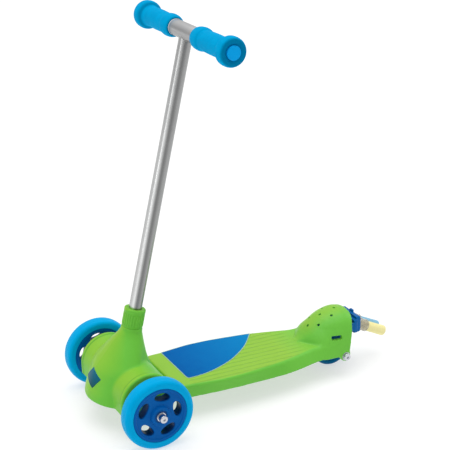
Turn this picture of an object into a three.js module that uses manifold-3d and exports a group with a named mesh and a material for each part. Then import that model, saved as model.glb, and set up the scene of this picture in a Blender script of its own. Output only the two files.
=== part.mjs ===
// Three wheel kids scooter: a moulded deck with a rear fender, a steering housing that carries
// two front wheels and a raked T-bar, one rear wheel and a tilting holder for two chalks.
// Millimetres. X to the rider's left, Y to the rear, Z up. While it is built, the front axle
// is at Y = 0; the finished group is moved so that Y = 0 is the middle of its length.

import * as THREE from 'three';
import { mergeVertices } from 'three/addons/utils/BufferGeometryUtils.js';
import Module from 'manifold-3d';

const wasm = await Module();
wasm.setup();

// Driving dimensions

// Layout of the whole scooter
const wheelbase = 420;
const frontTrack = 262.4;
const barHeight = 673.2;
const rakeDegrees = 12.42;
const steeringLead = 9.2;
const fitGap = 0.3;
const overrun = 2;
const weldTolerance = 1e-4;

// Front wheels
const frontTyreRadius = 63.5;
const frontTyreWidth = 27;
const frontRimRadius = 49;
const frontRimDepth = 4.5;
const frontWebWidth = 22;
const frontHubRadius = 17;
const frontHubWidth = 33;
const spokeHoleCount = 5;
const spokeHoleRadius = 33.5;
const spokeHoleLength = 27;
const spokeHoleWidth = 14;
const spokeHolePhase = 9;

// Rear wheel
const rearTyreRadius = 40;
const rearTyreWidth = 24;
const rearRimRadius = 29;
const rearRimDepth = 4;
const rearWebWidth = 14;
const rearHubRadius = 15;
const rearHubWidth = 19;

// Tyre and rim section
const tyreShoulder = 7;
const tyreCrown = 0.6;
const tyreBead = 0.9;
const tyreKeyWidth = 5;
const tyreKeyDepth = 1.6;
const rimLip = 1.5;
const hubChamfer = 1.6;

// Ball bearings
const bearingRadius = 10.7;
const bearingWidth = 7;
const bearingSunk = 0.5;
const bearingSeatStep = 2;
const bearingShieldDepth = 0.5;
const bearingShieldInner = 6.2;
const bearingShieldOuter = 9.2;

// Bolts, nuts and washers
const boltRadius = 4;
const boltHeadRadius = 6.8;
const boltHeadHeight = 4.6;
const axleHeadHeight = 10.6;
const boltHeadRound = 1.6;
const socketRadius = 2.9;
const socketDepth = 2.2;
const nutRadius = 7.4;
const nutHeight = 6.5;
const nutEdge = 0.7;
const washerRadius = 8.2;
const washerThickness = 1.4;
const spacerRadius = 6.4;
const threadRunout = 1.5;

// Steering housing
const neckTopRise = 101.5;
const neckLength = 135.5;
const neckTopRadius = 18.8;
const noseReach = 61.5;
const skirtReach = 72;
const neckSideReach = 60;
const noseSharpness = 0.2;
const housingWall = 3.2;
const housingFloor = 46.5;
const skirtFloor = 57;
const skirtCutWidth = 100;
const skirtCutStart = 16;
const neckCavityRise = 84;
const archRadius = 49;
const archLift = 4.5;
const archOuter = 95;
const archInner = 30;
const archRidge = 61.5;
const archProud = 2.5;
const archRound = 4;
const archFootShare = 0.98;
const postRadius = 16.5;
const postFoot = 9.7;
const postFloor = 14.7;
const nutBoreRadius = 9;
const nutBoreLength = 23;
const axleBossRadius = 9;
const axleBossOuter = 113;
const axleBossCollar = 11.5;
const nutPocketInner = 44.5;
const housingRib = 2.6;
const housingRibRise = 6;
const housingRibAngles = [-90, 52, 128];

// Neck outline from top to foot, as shares of the neck's length and of what each side gains
const neckOutlineShares = [
  { down: 0, front: 0, rear: 0, side: 0 },
  { down: 0.041, front: 0.01, rear: 0.008, side: 0.01 },
  { down: 0.1, front: 0.087, rear: 0.055, side: 0.078 },
  { down: 0.159, front: 0.192, rear: 0.107, side: 0.163 },
  { down: 0.225, front: 0.309, rear: 0.173, side: 0.26 },
  { down: 0.306, front: 0.45, rear: 0.258, side: 0.381 },
  { down: 0.395, front: 0.6, rear: 0.38, side: 0.539 },
  { down: 0.483, front: 0.75, rear: 0.549, side: 0.684 },
  { down: 0.565, front: 0.86, rear: 0.756, side: 0.806 },
  { down: 0.63, front: 0.9, rear: 0.91, side: 0.87 },
  { down: 0.697, front: 0.932, rear: 0.994, side: 0.927 },
  { down: 0.793, front: 0.965, rear: 1, side: 0.976 },
  { down: 0.875, front: 1, rear: 1, side: 1 },
  { down: 0.934, front: 0.995, rear: 1, side: 1 },
  { down: 0.967, front: 0.955, rear: 1, side: 1 },
  { down: 1, front: 0.87, rear: 1, side: 1 },
];

// Locking collar and the split sleeve it closes on the stem
const sleeveRadius = 14.6;
const sleeveLength = 32;
const sleeveSlit = 2.2;
const sleeveSlitLength = 24;
const collarRadius = 18.2;
const collarRibDepth = 0.9;
const collarRibCount = 26;
const collarRibShare = 0.55;
const collarHeight = 36;
const collarRound = 3;
const collarPlainBand = 3.5;

// T-bar
const stemRadius = 11.5;
const tubeWall = 1.6;
const crossbarRadius = 11.7;
const crossbarEndInset = 8.4;
const barSleeveRadius = 14;
const barSleeveHalfLength = 42;
const barSleeveChamfer = 1.2;

// Handlebar grips and end plugs
const gripInner = 43;
const gripOuter = 166.4;
const gripRimRadius = 19.8;
const gripNeckRadius = 16.5;
const gripBarrelRadius = 18;
const gripFlangeRadius = 24.7;
const gripRecessRadius = 16;
const gripRecessDepth = 2;
const plugHeadRadius = 12;
const plugHeadHeight = 5;
const plugProud = 1.4;
const plugStemLength = 14;
const plugRound = 0.9;

// Grip outline from the inner rim to the end flange: shares of the length and of the gain over
// the neck towards the radius named beside them
const gripOutlineShares = [
  { along: 0.0, over: -0.3, towards: 'rim' },
  { along: 0.032, over: 0.45, towards: 'rim' },
  { along: 0.073, over: 0.8, towards: 'rim' },
  { along: 0.138, over: 1, towards: 'rim' },
  { along: 0.186, over: 0.85, towards: 'rim' },
  { along: 0.235, over: 0.15, towards: 'rim' },
  { along: 0.35, over: 0.8, towards: 'barrel' },
  { along: 0.5, over: 1, towards: 'barrel' },
  { along: 0.67, over: 0.75, towards: 'barrel' },
  { along: 0.79, over: 0.4, towards: 'barrel' },
  { along: 0.84, over: 0.8, towards: 'flange' },
  { along: 0.88, over: 1, towards: 'flange' },
  { along: 0.95, over: 0.97, towards: 'flange' },
  { along: 1, over: 0.5, towards: 'flange' },
];

// Deck
const deckFront = 66.5;
const deckTop = 64.8;
const deckThickness = 22.8;
const deckHalfWidth = 78;
const deckEdge = 4.5;
const deckTopWall = 3.4;
const deckSideWall = 3;
const deckRib = 2.2;
const deckCrossRibs = 6;
const deckLongRibSpacing = 40;
const deckCavityRear = 362;

// Deck outline from the front edge to the rear rim: shares of the length from the front edge to
// the fender's rim and of the deck's half width, at the top edge and at the bottom edge
const deckOutlineShares = [
  { along: 0, top: 0.79, bottom: 0.84 },
  { along: 0.005, top: 0.86, bottom: 0.9 },
  { along: 0.015, top: 0.89, bottom: 0.93 },
  { along: 0.04, top: 0.9, bottom: 0.945 },
  { along: 0.087, top: 0.91, bottom: 0.955 },
  { along: 0.17, top: 0.96, bottom: 0.98 },
  { along: 0.257, top: 1, bottom: 1 },
  { along: 0.34, top: 0.995, bottom: 1.005 },
  { along: 0.422, top: 0.962, bottom: 1 },
  { along: 0.505, top: 0.917, bottom: 0.99 },
  { along: 0.587, top: 0.865, bottom: 0.975 },
  { along: 0.643, top: 0.808, bottom: 0.94 },
  { along: 0.697, top: 0.744, bottom: 0.89 },
  { along: 0.752, top: 0.672, bottom: 0.825 },
  { along: 0.807, top: 0.61, bottom: 0.763 },
  { along: 0.86, top: 0.602, bottom: 0.738 },
  { along: 0.92, top: 0.615, bottom: 0.73 },
  { along: 1, top: 0.628, bottom: 0.73 },
];

// Fender dome over the rear wheel
const domeFront = 345;
const domeCrownAt = 430;
const domeRear = 458;
const domeHalfWidth = 47.5;
const domeSpring = 66;
const domeCrown = 114.3;
const domePlanPower = 1.75;
const domeTipShare = 0.12;
const domeWall = 3.2;
const domeCavityFront = 370;
const flareFrom = 375;
const flareTo = 405;
const rimFoot = 428;
const rimLeanDegrees = 16.5;
const ventRadius = 2.4;
const ventSide = 17.5;
const slotAt = 406;
const slotHeight = 75.5;
const slotLength = 21;
const slotWidth = 8;
const lugRadius = 10.2;
const lugLength = 12.5;
const lugProud = 1.56;

// Height of the dome's crown line: shares of the way from its front foot to the crown
const domeCrownShares = [
  { along: 0, rise: 0.01 },
  { along: 0.08, rise: 0.12 },
  { along: 0.18, rise: 0.29 },
  { along: 0.294, rise: 0.49 },
  { along: 0.447, rise: 0.695 },
  { along: 0.6, rise: 0.85 },
  { along: 0.776, rise: 0.948 },
  { along: 1, rise: 1 },
  { along: 1.33, rise: 0.98 },
];

// Vent holes over the dome, in three columns: shares of the way from its front foot to the crown
const middleVentShares = [0.29412, 0.6, 0.96471];
const sideVentShares = [0.44706, 0.77647];

// Steering tongue of the deck
const tongueTop = 50.5;
const tongueHalfWidth = 30;
const eyeRadius = 20;
const eyeTop = 12;
const eyeThickness = 9;
const eyeBoreRadius = 7;
const bushWall = 2.4;
const bushFlangeRadius = 9.4;
const bushFlange = 1;
const headRecessRadius = 10;
const headRecessDepth = 3.4;

// Blue deck inlay
const inlayThickness = 1.1;
const inlayProud = 0.2;
const inlayFront = 97;
const inlayRear = 281;
const inlayEdge = 2.5;
const inlayCorner = 5;

// Free edge of the inlay from its front corner round to its rear tip: shares of the inlay's
// length and of the deck's half width, counted from the middle plane
const inlayEdgeShares = [
  { along: 0.0, side: 0.58 },
  { along: 0.03, side: 0.6 },
  { along: 0.16, side: 0.58 },
  { along: 0.29, side: 0.51 },
  { along: 0.42, side: 0.39 },
  { along: 0.56, side: 0.22 },
  { along: 0.7, side: -0.02 },
  { along: 0.81, side: -0.25 },
  { along: 0.9, side: -0.49 },
  { along: 0.965, side: -0.69 },
  { along: 1, side: -0.8 },
];

// Nose badge
const badgeHeight = 85;
const badgeWidth = 50;
const badgeProud = 0.9;
const badgeSunk = 1;

// Corners of the badge in front view, as shares of its width
const badgeCornerShares = [
  { across: 0.5, up: 0.09 },
  { across: -0.12, up: 0.31 },
  { across: -0.5, up: -0.12 },
  { across: 0.2, up: -0.31 },
];

// Chalk holder, measured from the rear axle
const armInner = 27.5;
const armThickness = 3.6;
const armEyeRadius = 9;
const armRear = 27;
const armKnee = 30;
const armHeel = 36;
const armTop = 50;
const armBrow = 43;
const armBrowAt = 13;
const armFront = 26;
const armFrontTop = 35;
const thumbHeight = 4.5;
const thumbLength = 15;
const thumbWidth = 9.5;
const thumbAt = 14;
const headAt = 40;
const headRise = 42.5;
const headHalfWidth = 28;
const headHalfHeight = 17;
const headDepth = 16;
const headBulge = 6;
const headRound = 7;
const headEndRound = 14;
const crossWall = 6;
const tabWidth = 15;
const tabRise = 2.5;
const tabDepth = 6;
const tabInset = 9.5;
const chalkSpacing = 27;
const chalkRise = 38;
const chalkTiltDegrees = 28;
const chalkSunk = 8;
const chalkRadius = 9.4;
const chalkEndRadius = 9.9;
const chalkLength = 74;
const chalkRound = 1.6;
const chalkSleeveWall = 2.1;
const chalkSleeveSunk = 5;
const chalkSleeveLength = 26;
const chalkSleeveRound = 1.2;

// Counts of facets
const tyreFacets = 32;
const hubFacets = 28;
const tubeFacets = 24;
const smallFacets = 16;
const coreFacets = 12;
const ringFacets = 30;
const cornerSteps = 2;
const archSteps = 16;
const tyreSteps = 2;

// Worked out from the driving dimensions
const rake = THREE.MathUtils.degToRad(rakeDegrees);
const deckBottom = deckTop - deckThickness;
const stemBore = stemRadius + fitGap;
const boltBore = boltRadius + fitGap;
const barRise = (barHeight - frontTyreRadius) / Math.cos(rake);
const wheelMiddle = frontTrack / 2;
const crossbarHalfLength = gripOuter - crossbarEndInset;
const lugOuter = deckHalfWidth * deckOutlineShares.at(-1).bottom + lugProud;
const lugInner = lugOuter - lugLength;

// Colours read from the photographed scooter
const paint = {
  green: { color: '#6cbb3a', roughness: 0.42, metalness: 0 },
  lime: { color: '#8ec63f', roughness: 0.5, metalness: 0 },
  azure: { color: '#07a6e0', roughness: 0.55, metalness: 0 },
  deepBlue: { color: '#0a62ad', roughness: 0.38, metalness: 0 },
  gripFoam: { color: '#0699cf', roughness: 0.85, metalness: 0 },
  inlay: { color: '#0879c8', roughness: 0.45, metalness: 0 },
  steel: { color: '#c4c6ca', roughness: 0.28, metalness: 1 },
  aluminium: { color: '#a9abae', roughness: 0.38, metalness: 1 },
  nylon: { color: '#e6e6e2', roughness: 0.5, metalness: 0 },
  translucent: { color: '#c9c6c3', roughness: 0.35, metalness: 0 },
  yellowChalk: { color: '#efe19c', roughness: 0.95, metalness: 0 },
  blueChalk: { color: '#86b8d4', roughness: 0.95, metalness: 0 },
};

// Geometry helpers

// Signed volume of an indexed geometry, negative when its faces point inwards
function signedVolume(geometry) {
  const place = geometry.getAttribute('position');
  const index = geometry.getIndex().array;
  const corners = [new THREE.Vector3(), new THREE.Vector3(), new THREE.Vector3()];
  let total = 0;
  for (let k = 0; k < index.length; k += 3) {
    corners.forEach((corner, n) => corner.fromBufferAttribute(place, index[k + n]));
    total += corners[0].dot(corners[1].cross(corners[2]));
  }
  return total;
}

// Closed mesh with shared vertices, no collapsed triangles and its faces pointing out
function tidied(source) {
  const bare = source.clone();
  bare.deleteAttribute('normal');
  bare.deleteAttribute('uv');
  const merged = mergeVertices(bare, weldTolerance);
  const index = merged.getIndex().array;
  const kept = [];
  for (let k = 0; k < index.length; k += 3) {
    const [a, b, c] = [index[k], index[k + 1], index[k + 2]];
    if (a !== b && b !== c && c !== a) kept.push(a, b, c);
  }
  merged.setIndex(kept);
  if (signedVolume(merged) < 0) {
    for (let k = 0; k < kept.length; k += 3) {
      [kept[k + 1], kept[k + 2]] = [kept[k + 2], kept[k + 1]];
    }
    merged.setIndex(kept);
  }
  return merged;
}

function solid(geometry) {
  const clean = tidied(geometry);
  return new wasm.Manifold(new wasm.Mesh({
    numProp: 3,
    vertProperties: new Float32Array(clean.getAttribute('position').array),
    triVerts: new Uint32Array(clean.getIndex().array),
  }));
}

function geometryOf(manifold) {
  const mesh = manifold.getMesh();
  const geometry = new THREE.BufferGeometry();
  geometry.setAttribute('position', new THREE.BufferAttribute(mesh.vertProperties, mesh.numProp));
  geometry.setIndex(new THREE.BufferAttribute(mesh.triVerts, 1));
  return geometry;
}

const joined = (solids) => solids.reduce((sum, next) => sum.add(next));

// Points of an arc in a profile, from one angle to another in degrees
function arc(centreA, centreB, radius, from, to, steps = cornerSteps) {
  return Array.from({ length: steps + 1 }, (_, k) => {
    const angle = THREE.MathUtils.degToRad(from + ((to - from) * k) / steps);
    return [centreA + radius * Math.cos(angle), centreB + radius * Math.sin(angle)];
  });
}

// Revolves a profile of [radius, along] points about the Z axis; the profile closes on itself
// unless it starts on the axis
function turned(profile, facets = smallFacets) {
  const points = profile.map(([radius, along]) => new THREE.Vector2(radius, along));
  if (profile[0][0] > 0) points.push(points[0].clone());
  return tidied(new THREE.LatheGeometry(points, facets).rotateX(Math.PI / 2));
}

// The same, lying along X
const turnedX = (profile, facets) => turned(profile, facets).rotateY(Math.PI / 2);

const disc = (radius, from, to) => [[0, from], [radius, from], [radius, to], [0, to]];

const ring = (inner, outer, from, to) => [[inner, from], [outer, from], [outer, to], [inner, to]];

// Prism of a flat outline of [a, b] points, a along X and b along Y, from one Z to another
function prism(outline, from, to) {
  const shape = new THREE.Shape(outline.map(([a, b]) => new THREE.Vector2(a, b)));
  const settings = { depth: to - from, bevelEnabled: false };
  return new THREE.ExtrudeGeometry(shape, settings).translate(0, 0, from);
}

// Prism of an outline of [Y, Z] points from one X to another
function sidePrism(outline, from, to) {
  return prism(outline, from, to).rotateX(Math.PI / 2).rotateZ(Math.PI / 2);
}

function box(minimum, maximum) {
  const size = maximum.map((value, k) => value - minimum[k]);
  const middle = maximum.map((value, k) => (value + minimum[k]) / 2);
  return new THREE.BoxGeometry(...size).translate(...middle);
}

// Outline of a rectangle with round corners about the origin
function roundedRectangle(length, width, radius) {
  const a = length / 2 - radius;
  const b = width / 2 - radius;
  return [
    ...arc(a, b, radius, 0, 90),
    ...arc(-a, b, radius, 90, 180),
    ...arc(-a, -b, radius, 180, 270),
    ...arc(a, -b, radius, 270, 360),
  ];
}

// Skin over closed rings of equally many points, closed by a fan at each end
function lofted(rings) {
  const count = rings[0].length;
  const positions = rings.flat().flatMap((point) => point.toArray());
  const index = [];
  rings.slice(1).forEach((_, row) => {
    for (let k = 0; k < count; k += 1) {
      const next = (k + 1) % count;
      const [a, b] = [row * count + k, row * count + next];
      index.push(a, b, b + count, a, b + count, a + count);
    }
  });
  [rings[0], rings.at(-1)].forEach((end, side) => {
    const middle = end.reduce((sum, point) => sum.add(point), new THREE.Vector3());
    const centre = positions.length / 3;
    positions.push(...middle.divideScalar(count).toArray());
    const first = side * (rings.length - 1) * count;
    for (let k = 0; k < count; k += 1) {
      const pair = [first + k, first + ((k + 1) % count)];
      if (side === 0) pair.reverse();
      index.push(pair[0], pair[1], centre);
    }
  });
  const geometry = new THREE.BufferGeometry();
  geometry.setAttribute('position', new THREE.Float32BufferAttribute(positions, 3));
  geometry.setIndex(index);
  return geometry;
}

// Value read off a table of shares by straight lines between its rows
function readTable(rows, along, key) {
  const last = rows.length - 1;
  const after = Math.min(Math.max(rows.findIndex((row) => row.along >= along), 1), last);
  const row = along > rows[last].along ? last : after;
  const [low, high] = [rows[row - 1], rows[row]];
  const share = Math.min((along - low.along) / (high.along - low.along), 1);
  return low[key] + share * (high[key] - low[key]);
}

// Scene graph

const scooter = new THREE.Group();

// The steering group's Z axis is the steering axis and its origin is at axle height
const steering = new THREE.Group();
steering.position.set(0, -steeringLead, frontTyreRadius);
steering.rotation.x = -rake;
scooter.add(steering);
steering.updateMatrix();

const bar = new THREE.Group();
bar.position.z = barRise;
steering.add(bar);

const rearAxle = new THREE.Group();
rearAxle.position.set(0, wheelbase, rearTyreRadius);
scooter.add(rearAxle);

function place(name, geometry, finish, parent = scooter) {
  const mesh = new THREE.Mesh(tidied(geometry), new THREE.MeshStandardMaterial(finish));
  mesh.name = name;
  parent.add(mesh);
  return mesh;
}

// A geometry of the steering frame, set in the scooter's frame for joins and cuts
const steered = (geometry) => geometry.applyMatrix4(steering.matrix);

// Wheels

// Solid tyre with round shoulders and a key in its bore that locks into the rim
function tyreProfile(radius, width, rimRadius) {
  const half = width / 2;
  const bore = rimRadius + fitGap;
  const key = tyreKeyWidth / 2 - fitGap;
  const edge = radius - tyreCrown - tyreShoulder;
  const side = [
    [bore, key + tyreKeyDepth / 2],
    [bore, half - tyreBead],
    [bore + tyreBead, half],
    ...arc(edge, half - tyreShoulder, tyreShoulder, 90, 0, tyreSteps),
  ];
  const outer = [...side, [radius, 0], ...mirrored(side)];
  return [[bore - tyreKeyDepth, -key], [bore - tyreKeyDepth, key], ...outer];
}

const mirrored = (side) => side.map(([radius, along]) => [radius, -along]).reverse();

// Hub with a rim, a web and bearing seats on both sides of a shoulder
function hubProfile(rimRadius, rimDepth, width, webWidth, hubRadius, hubWidth) {
  const seat = bearingRadius + fitGap;
  const shoulder = bearingBack(hubWidth) - fitGap;
  const rim = width / 2 - rimLip / 2;
  const web = webWidth / 2;
  const key = tyreKeyWidth / 2;
  const side = [
    [seat - bearingSeatStep, shoulder],
    [seat, shoulder],
    [seat, hubWidth / 2],
    [hubRadius, hubWidth / 2],
    [hubRadius + hubChamfer, web],
    [rimRadius - rimDepth - rimLip, web],
    [rimRadius - rimDepth, rim],
    [rimRadius, rim],
    [rimRadius, key + tyreKeyDepth / 2],
    [rimRadius - tyreKeyDepth, key],
  ];
  return [...side, ...mirrored(side)];
}

// Where the bearings of a hub of this width begin and end, counted from its middle
const bearingFront = (hubWidth) => hubWidth / 2 - bearingSunk;
const bearingBack = (hubWidth) => bearingFront(hubWidth) - bearingWidth;

// Oval opening bent round the hub, as a prism along the axle
function spokeHole(middleDegrees) {
  const middle = THREE.MathUtils.degToRad(middleDegrees);
  const outline = Array.from({ length: smallFacets }, (_, k) => {
    const turn = (2 * Math.PI * k) / smallFacets;
    const radius = spokeHoleRadius + (spokeHoleWidth / 2) * Math.sin(turn);
    const angle = middle + ((spokeHoleLength / 2) * Math.cos(turn)) / spokeHoleRadius;
    return [radius * Math.cos(angle), radius * Math.sin(angle)];
  });
  return sidePrism(outline, -frontTyreWidth / 2, frontTyreWidth / 2);
}

function frontHub() {
  const profile = hubProfile(
    frontRimRadius, frontRimDepth, frontTyreWidth, frontWebWidth, frontHubRadius, frontHubWidth,
  );
  let hub = solid(turnedX(profile, hubFacets));
  for (let k = 0; k < spokeHoleCount; k += 1) {
    hub = hub.subtract(solid(spokeHole(spokeHolePhase + (360 * k) / spokeHoleCount)));
  }
  return geometryOf(hub);
}

function rearHub() {
  const profile = hubProfile(
    rearRimRadius, rearRimDepth, rearTyreWidth, rearWebWidth, rearHubRadius, rearHubWidth,
  );
  return turnedX(profile, hubFacets);
}

// Ball bearing with a shield sunk between its rings on the outer face
function bearing() {
  const half = bearingWidth / 2;
  const face = [
    [boltBore, half],
    [bearingShieldInner, half],
    [(bearingShieldInner + bearingShieldOuter) / 2, half - bearingShieldDepth],
    [bearingShieldOuter, half],
    [bearingRadius, half],
    [bearingRadius, -half],
    [boltBore, -half],
  ];
  return turnedX(face);
}

function spacer(from, to, radius = spacerRadius) {
  return turnedX(ring(boltBore, radius, from, to), coreFacets);
}

// Bolt along X with a round head at its far end and a hexagon socket in the head
function bolt(from, to, headHeight = boltHeadHeight) {
  const crown = to + headHeight;
  const shell = turnedX([
    [0, from],
    [boltRadius - nutEdge, from],
    [boltRadius, from + nutEdge],
    [boltRadius, to],
    [boltHeadRadius, to],
    ...arc(boltHeadRadius - boltHeadRound, crown - boltHeadRound, boltHeadRound, 0, 90),
    [0, crown],
  ]);
  const socket = turnedX(disc(socketRadius, crown - socketDepth, crown + overrun), 6);
  return geometryOf(solid(shell).subtract(solid(socket)));
}

// Hexagon nut along X with its corners turned off, two flats upright
function nut(from) {
  const to = from + nutHeight;
  const hexagon = turnedX(disc(nutRadius, from, to), 6).rotateX(Math.PI / 6);
  const round = turnedX([
    [boltBore, from],
    [nutRadius - nutEdge, from],
    [nutRadius, from + nutEdge],
    [nutRadius, to - nutEdge],
    [nutRadius - nutEdge, to],
    [boltBore, to],
  ]);
  return geometryOf(solid(hexagon).intersect(solid(round)));
}

// The two bearings of a wheel and the spacer between them
function addBearings(names, hubWidth, wheel) {
  const middle = bearingFront(hubWidth) - bearingWidth / 2;
  const outer = place(names[0], bearing(), paint.steel, wheel);
  outer.position.x = middle;
  const inner = place(names[1], bearing(), paint.steel, wheel);
  inner.rotation.z = Math.PI;
  inner.position.x = -middle;
  const reach = bearingBack(hubWidth) - fitGap;
  place(names[2], spacer(-reach, reach), paint.aluminium, wheel);
}

function addFrontWheel(side, sign) {
  const wheel = new THREE.Group();
  wheel.position.set(sign * wheelMiddle, 0, frontTyreRadius);
  if (sign < 0) wheel.rotation.z = Math.PI;
  scooter.add(wheel);
  const tyre = tyreProfile(frontTyreRadius, frontTyreWidth, frontRimRadius);
  place(`front_tyre_${side}`, turnedX(tyre, tyreFacets), paint.azure, wheel);
  place(`front_hub_${side}`, frontHub(), paint.deepBlue, wheel);
  const names = ['outer', 'inner', 'spacer'].map((part) => `front_bearing_${part}_${side}`);
  addBearings(names, frontHubWidth, wheel);
  const bearingFace = bearingFront(frontHubWidth);
  const washerFrom = bearingFace + fitGap;
  const washer = spacer(washerFrom, washerFrom + washerThickness, washerRadius);
  place(`front_axle_washer_${side}`, washer, paint.steel, wheel);
  const bossEnd = axleBossOuter - wheelMiddle;
  const sleeve = spacer(bossEnd + fitGap, -bearingFace - fitGap);
  place(`front_axle_sleeve_${side}`, sleeve, paint.aluminium, wheel);
  const nutFrom = nutPocketInner + fitGap - wheelMiddle;
  const seat = washerFrom + washerThickness + fitGap;
  const axle = bolt(nutFrom - threadRunout, seat, axleHeadHeight);
  place(`front_axle_bolt_${side}`, axle, paint.steel, wheel);
  place(`front_axle_nut_${side}`, nut(nutFrom), paint.steel, wheel);
}

// Steering housing

// One level ring of the neck, square to the steering axis, drawn in by an inset
function neckRing(row, inset) {
  const reach = (side, full) => neckTopRadius + side * (full - neckTopRadius) - inset;
  const power = 2 / (2 - noseSharpness * row.down);
  return Array.from({ length: ringFacets }, (_, k) => {
    const angle = (2 * Math.PI * k) / ringFacets;
    const [across, along] = [Math.cos(angle), Math.sin(angle)];
    const ahead = along < 0;
    const bend = ahead ? power : 1;
    const x = Math.sign(across) * Math.abs(across) ** bend * reach(row.side, neckSideReach);
    const span = ahead ? reach(row.front, noseReach) : reach(row.rear, skirtReach);
    const y = Math.sign(along) * Math.abs(along) ** bend * span;
    return new THREE.Vector3(x, y, neckTopRise - row.down * neckLength);
  });
}

function neckCavity() {
  const belowTop = (row) => neckTopRise - row.down * neckLength < neckCavityRise;
  const rings = neckOutlineShares.filter(belowTop).map((row) => neckRing(row, housingWall));
  return steered(lofted(rings));
}

// Side outline of a wheel arch at an X: a half circle on two nearly upright legs. Beside the neck
// it is a lower shoulder, and the arch stands proud of that shoulder from the ridge outwards.
function archRing(x, inset) {
  const radius = archRadius - inset;
  const foot = housingFloor - overrun;
  const crown = arc(0, frontTyreRadius + archLift, radius, 0, 180, archSteps);
  const legs = [[-radius * archFootShare, foot], [radius * archFootShare, foot]];
  return [...crown, ...legs].map(([y, z]) => new THREE.Vector3(x, y, z));
}

// Arch beside each front wheel, from inside the neck to its closed outer end
function archShape(sign, inset) {
  const end = archOuter - inset;
  const rings = arc(0, end - archRound, archRound, 0, 90).map(
    ([drawn, x]) => archRing(x, inset + archRound - drawn),
  );
  const shoulder = inset + archProud;
  const shape = lofted([
    archRing(archInner, shoulder),
    archRing(archRidge + inset, shoulder),
    archRing(archRidge + inset, inset),
    ...rings,
  ]);
  return solid(sign > 0 ? shape : shape.rotateZ(Math.PI));
}

function axleBoss(sign) {
  const boss = turnedX([
    [0, 0],
    [axleBossRadius, 0],
    [axleBossRadius, archOuter - fitGap],
    [axleBossCollar, archOuter - fitGap],
    [axleBossRadius, axleBossOuter],
    [0, axleBossOuter],
  ]).translate(0, 0, frontTyreRadius);
  return solid(sign > 0 ? boss : boss.rotateZ(Math.PI));
}

// Bore of the stub axle and the pocket that holds its nut, open below
function axleCuts(sign) {
  const pocketOuter = nutPocketInner + nutHeight + 2 * fitGap;
  const halfWidth = nutRadius * Math.cos(Math.PI / 6) + fitGap;
  const boreFrom = nutPocketInner - threadRunout - fitGap;
  const bore = turnedX(disc(boltBore, boreFrom, axleBossOuter + overrun));
  bore.translate(0, 0, frontTyreRadius);
  const pocket = box(
    [nutPocketInner, -halfWidth, frontTyreRadius - axleBossRadius - overrun],
    [pocketOuter, halfWidth, frontTyreRadius + nutRadius + fitGap],
  );
  const cuts = [bore, pocket].map((cut) => solid(sign > 0 ? cut : cut.rotateZ(Math.PI)));
  return joined(cuts);
}

function steeringHousing() {
  const signs = [-1, 1];
  const outer = joined([
    solid(steered(lofted(neckOutlineShares.map((row) => neckRing(row, 0))))),
    ...signs.map((sign) => archShape(sign, 0)),
  ]);
  const inner = joined([
    solid(neckCavity()),
    ...signs.map((sign) => archShape(sign, housingWall)),
  ]);
  const wide = archOuter + overrun;
  const ribs = housingRibAngles.map((angle) => {
    const rib = box([0, -housingRib / 2, housingRibRise - postFoot],
      [wide, housingRib / 2, neckCavityRise]);
    return solid(steered(rib.rotateZ(THREE.MathUtils.degToRad(angle)))).intersect(outer);
  });
  const post = turned([
    [0, -postFoot],
    [postRadius, -postFoot],
    [postRadius, neckTopRise - neckTopRadius],
    [sleeveRadius, neckTopRise],
    [sleeveRadius, neckTopRise + sleeveLength],
    [0, neckTopRise + sleeveLength],
  ], tubeFacets);
  const below = (floor, halfWidth, from) => solid(box(
    [-halfWidth, from, floor - deckHalfWidth],
    [halfWidth, skirtReach + overrun, floor],
  ));
  const floorFrom = -noseReach - neckTopRadius - overrun;
  const shell = outer
    .subtract(inner)
    .add(joined(ribs))
    .add(solid(steered(post)))
    .add(joined(signs.map(axleBoss)))
    .subtract(below(housingFloor, wide + axleBossOuter, floorFrom))
    .subtract(below(skirtFloor, skirtCutWidth / 2, skirtCutStart));
  const bores = [
    turned(disc(boltBore, -postFoot - overrun, postFloor)),
    turned(disc(nutBoreRadius, postFloor - postFoot, postFloor - postFoot + nutBoreLength)),
    turned(disc(stemBore, stemFoot, neckTopRise + sleeveLength + overrun), tubeFacets),
    ...[0, 1].map((turn) => box(
      [-sleeveSlit / 2, -neckTopRadius, neckTopRise + sleeveLength - sleeveSlitLength],
      [sleeveSlit / 2, neckTopRadius, neckTopRise + sleeveLength + overrun],
    ).rotateZ((turn * Math.PI) / 2)),
  ].map((cut) => solid(steered(cut)));
  return [...bores, ...signs.map(axleCuts)].reduce((rest, cut) => rest.subtract(cut), shell);
}

const stemFoot = postFloor - postFoot + nutBoreLength - overrun;

// Collar with upright ribs that clamps the split sleeve
function lockingCollar() {
  const foot = neckTopRise + fitGap;
  const top = foot + collarHeight;
  const bore = sleeveRadius + fitGap;
  const body = solid(turned([
    [bore, foot],
    [collarRadius, foot],
    ...arc(collarRadius - collarRound, top - collarRound, collarRound, 0, 90),
    [stemBore, top],
    [stemBore, top - collarRound],
    [bore, top - collarRound],
  ], collarRibCount));
  const ribWidth = (2 * Math.PI * collarRadius * collarRibShare) / collarRibCount;
  const ribs = Array.from({ length: collarRibCount }, (_, k) => solid(box(
    [bore + collarRibDepth, -ribWidth / 2, foot + collarPlainBand],
    [collarRadius + collarRibDepth, ribWidth / 2, top - collarRound - collarPlainBand],
  ).rotateZ((2 * Math.PI * (k + 1 / 2)) / collarRibCount)));
  return geometryOf(joined([body, ...ribs]));
}

// T-bar

function stemTube() {
  const tube = solid(turned(
    ring(stemRadius - tubeWall, stemRadius, stemFoot + fitGap, barRise), tubeFacets,
  ));
  const half = barSleeveHalfLength;
  const saddle = turnedX(disc(barSleeveRadius + fitGap, -half, half), tubeFacets);
  return geometryOf(tube.subtract(solid(saddle.translate(0, 0, barRise))));
}

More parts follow.
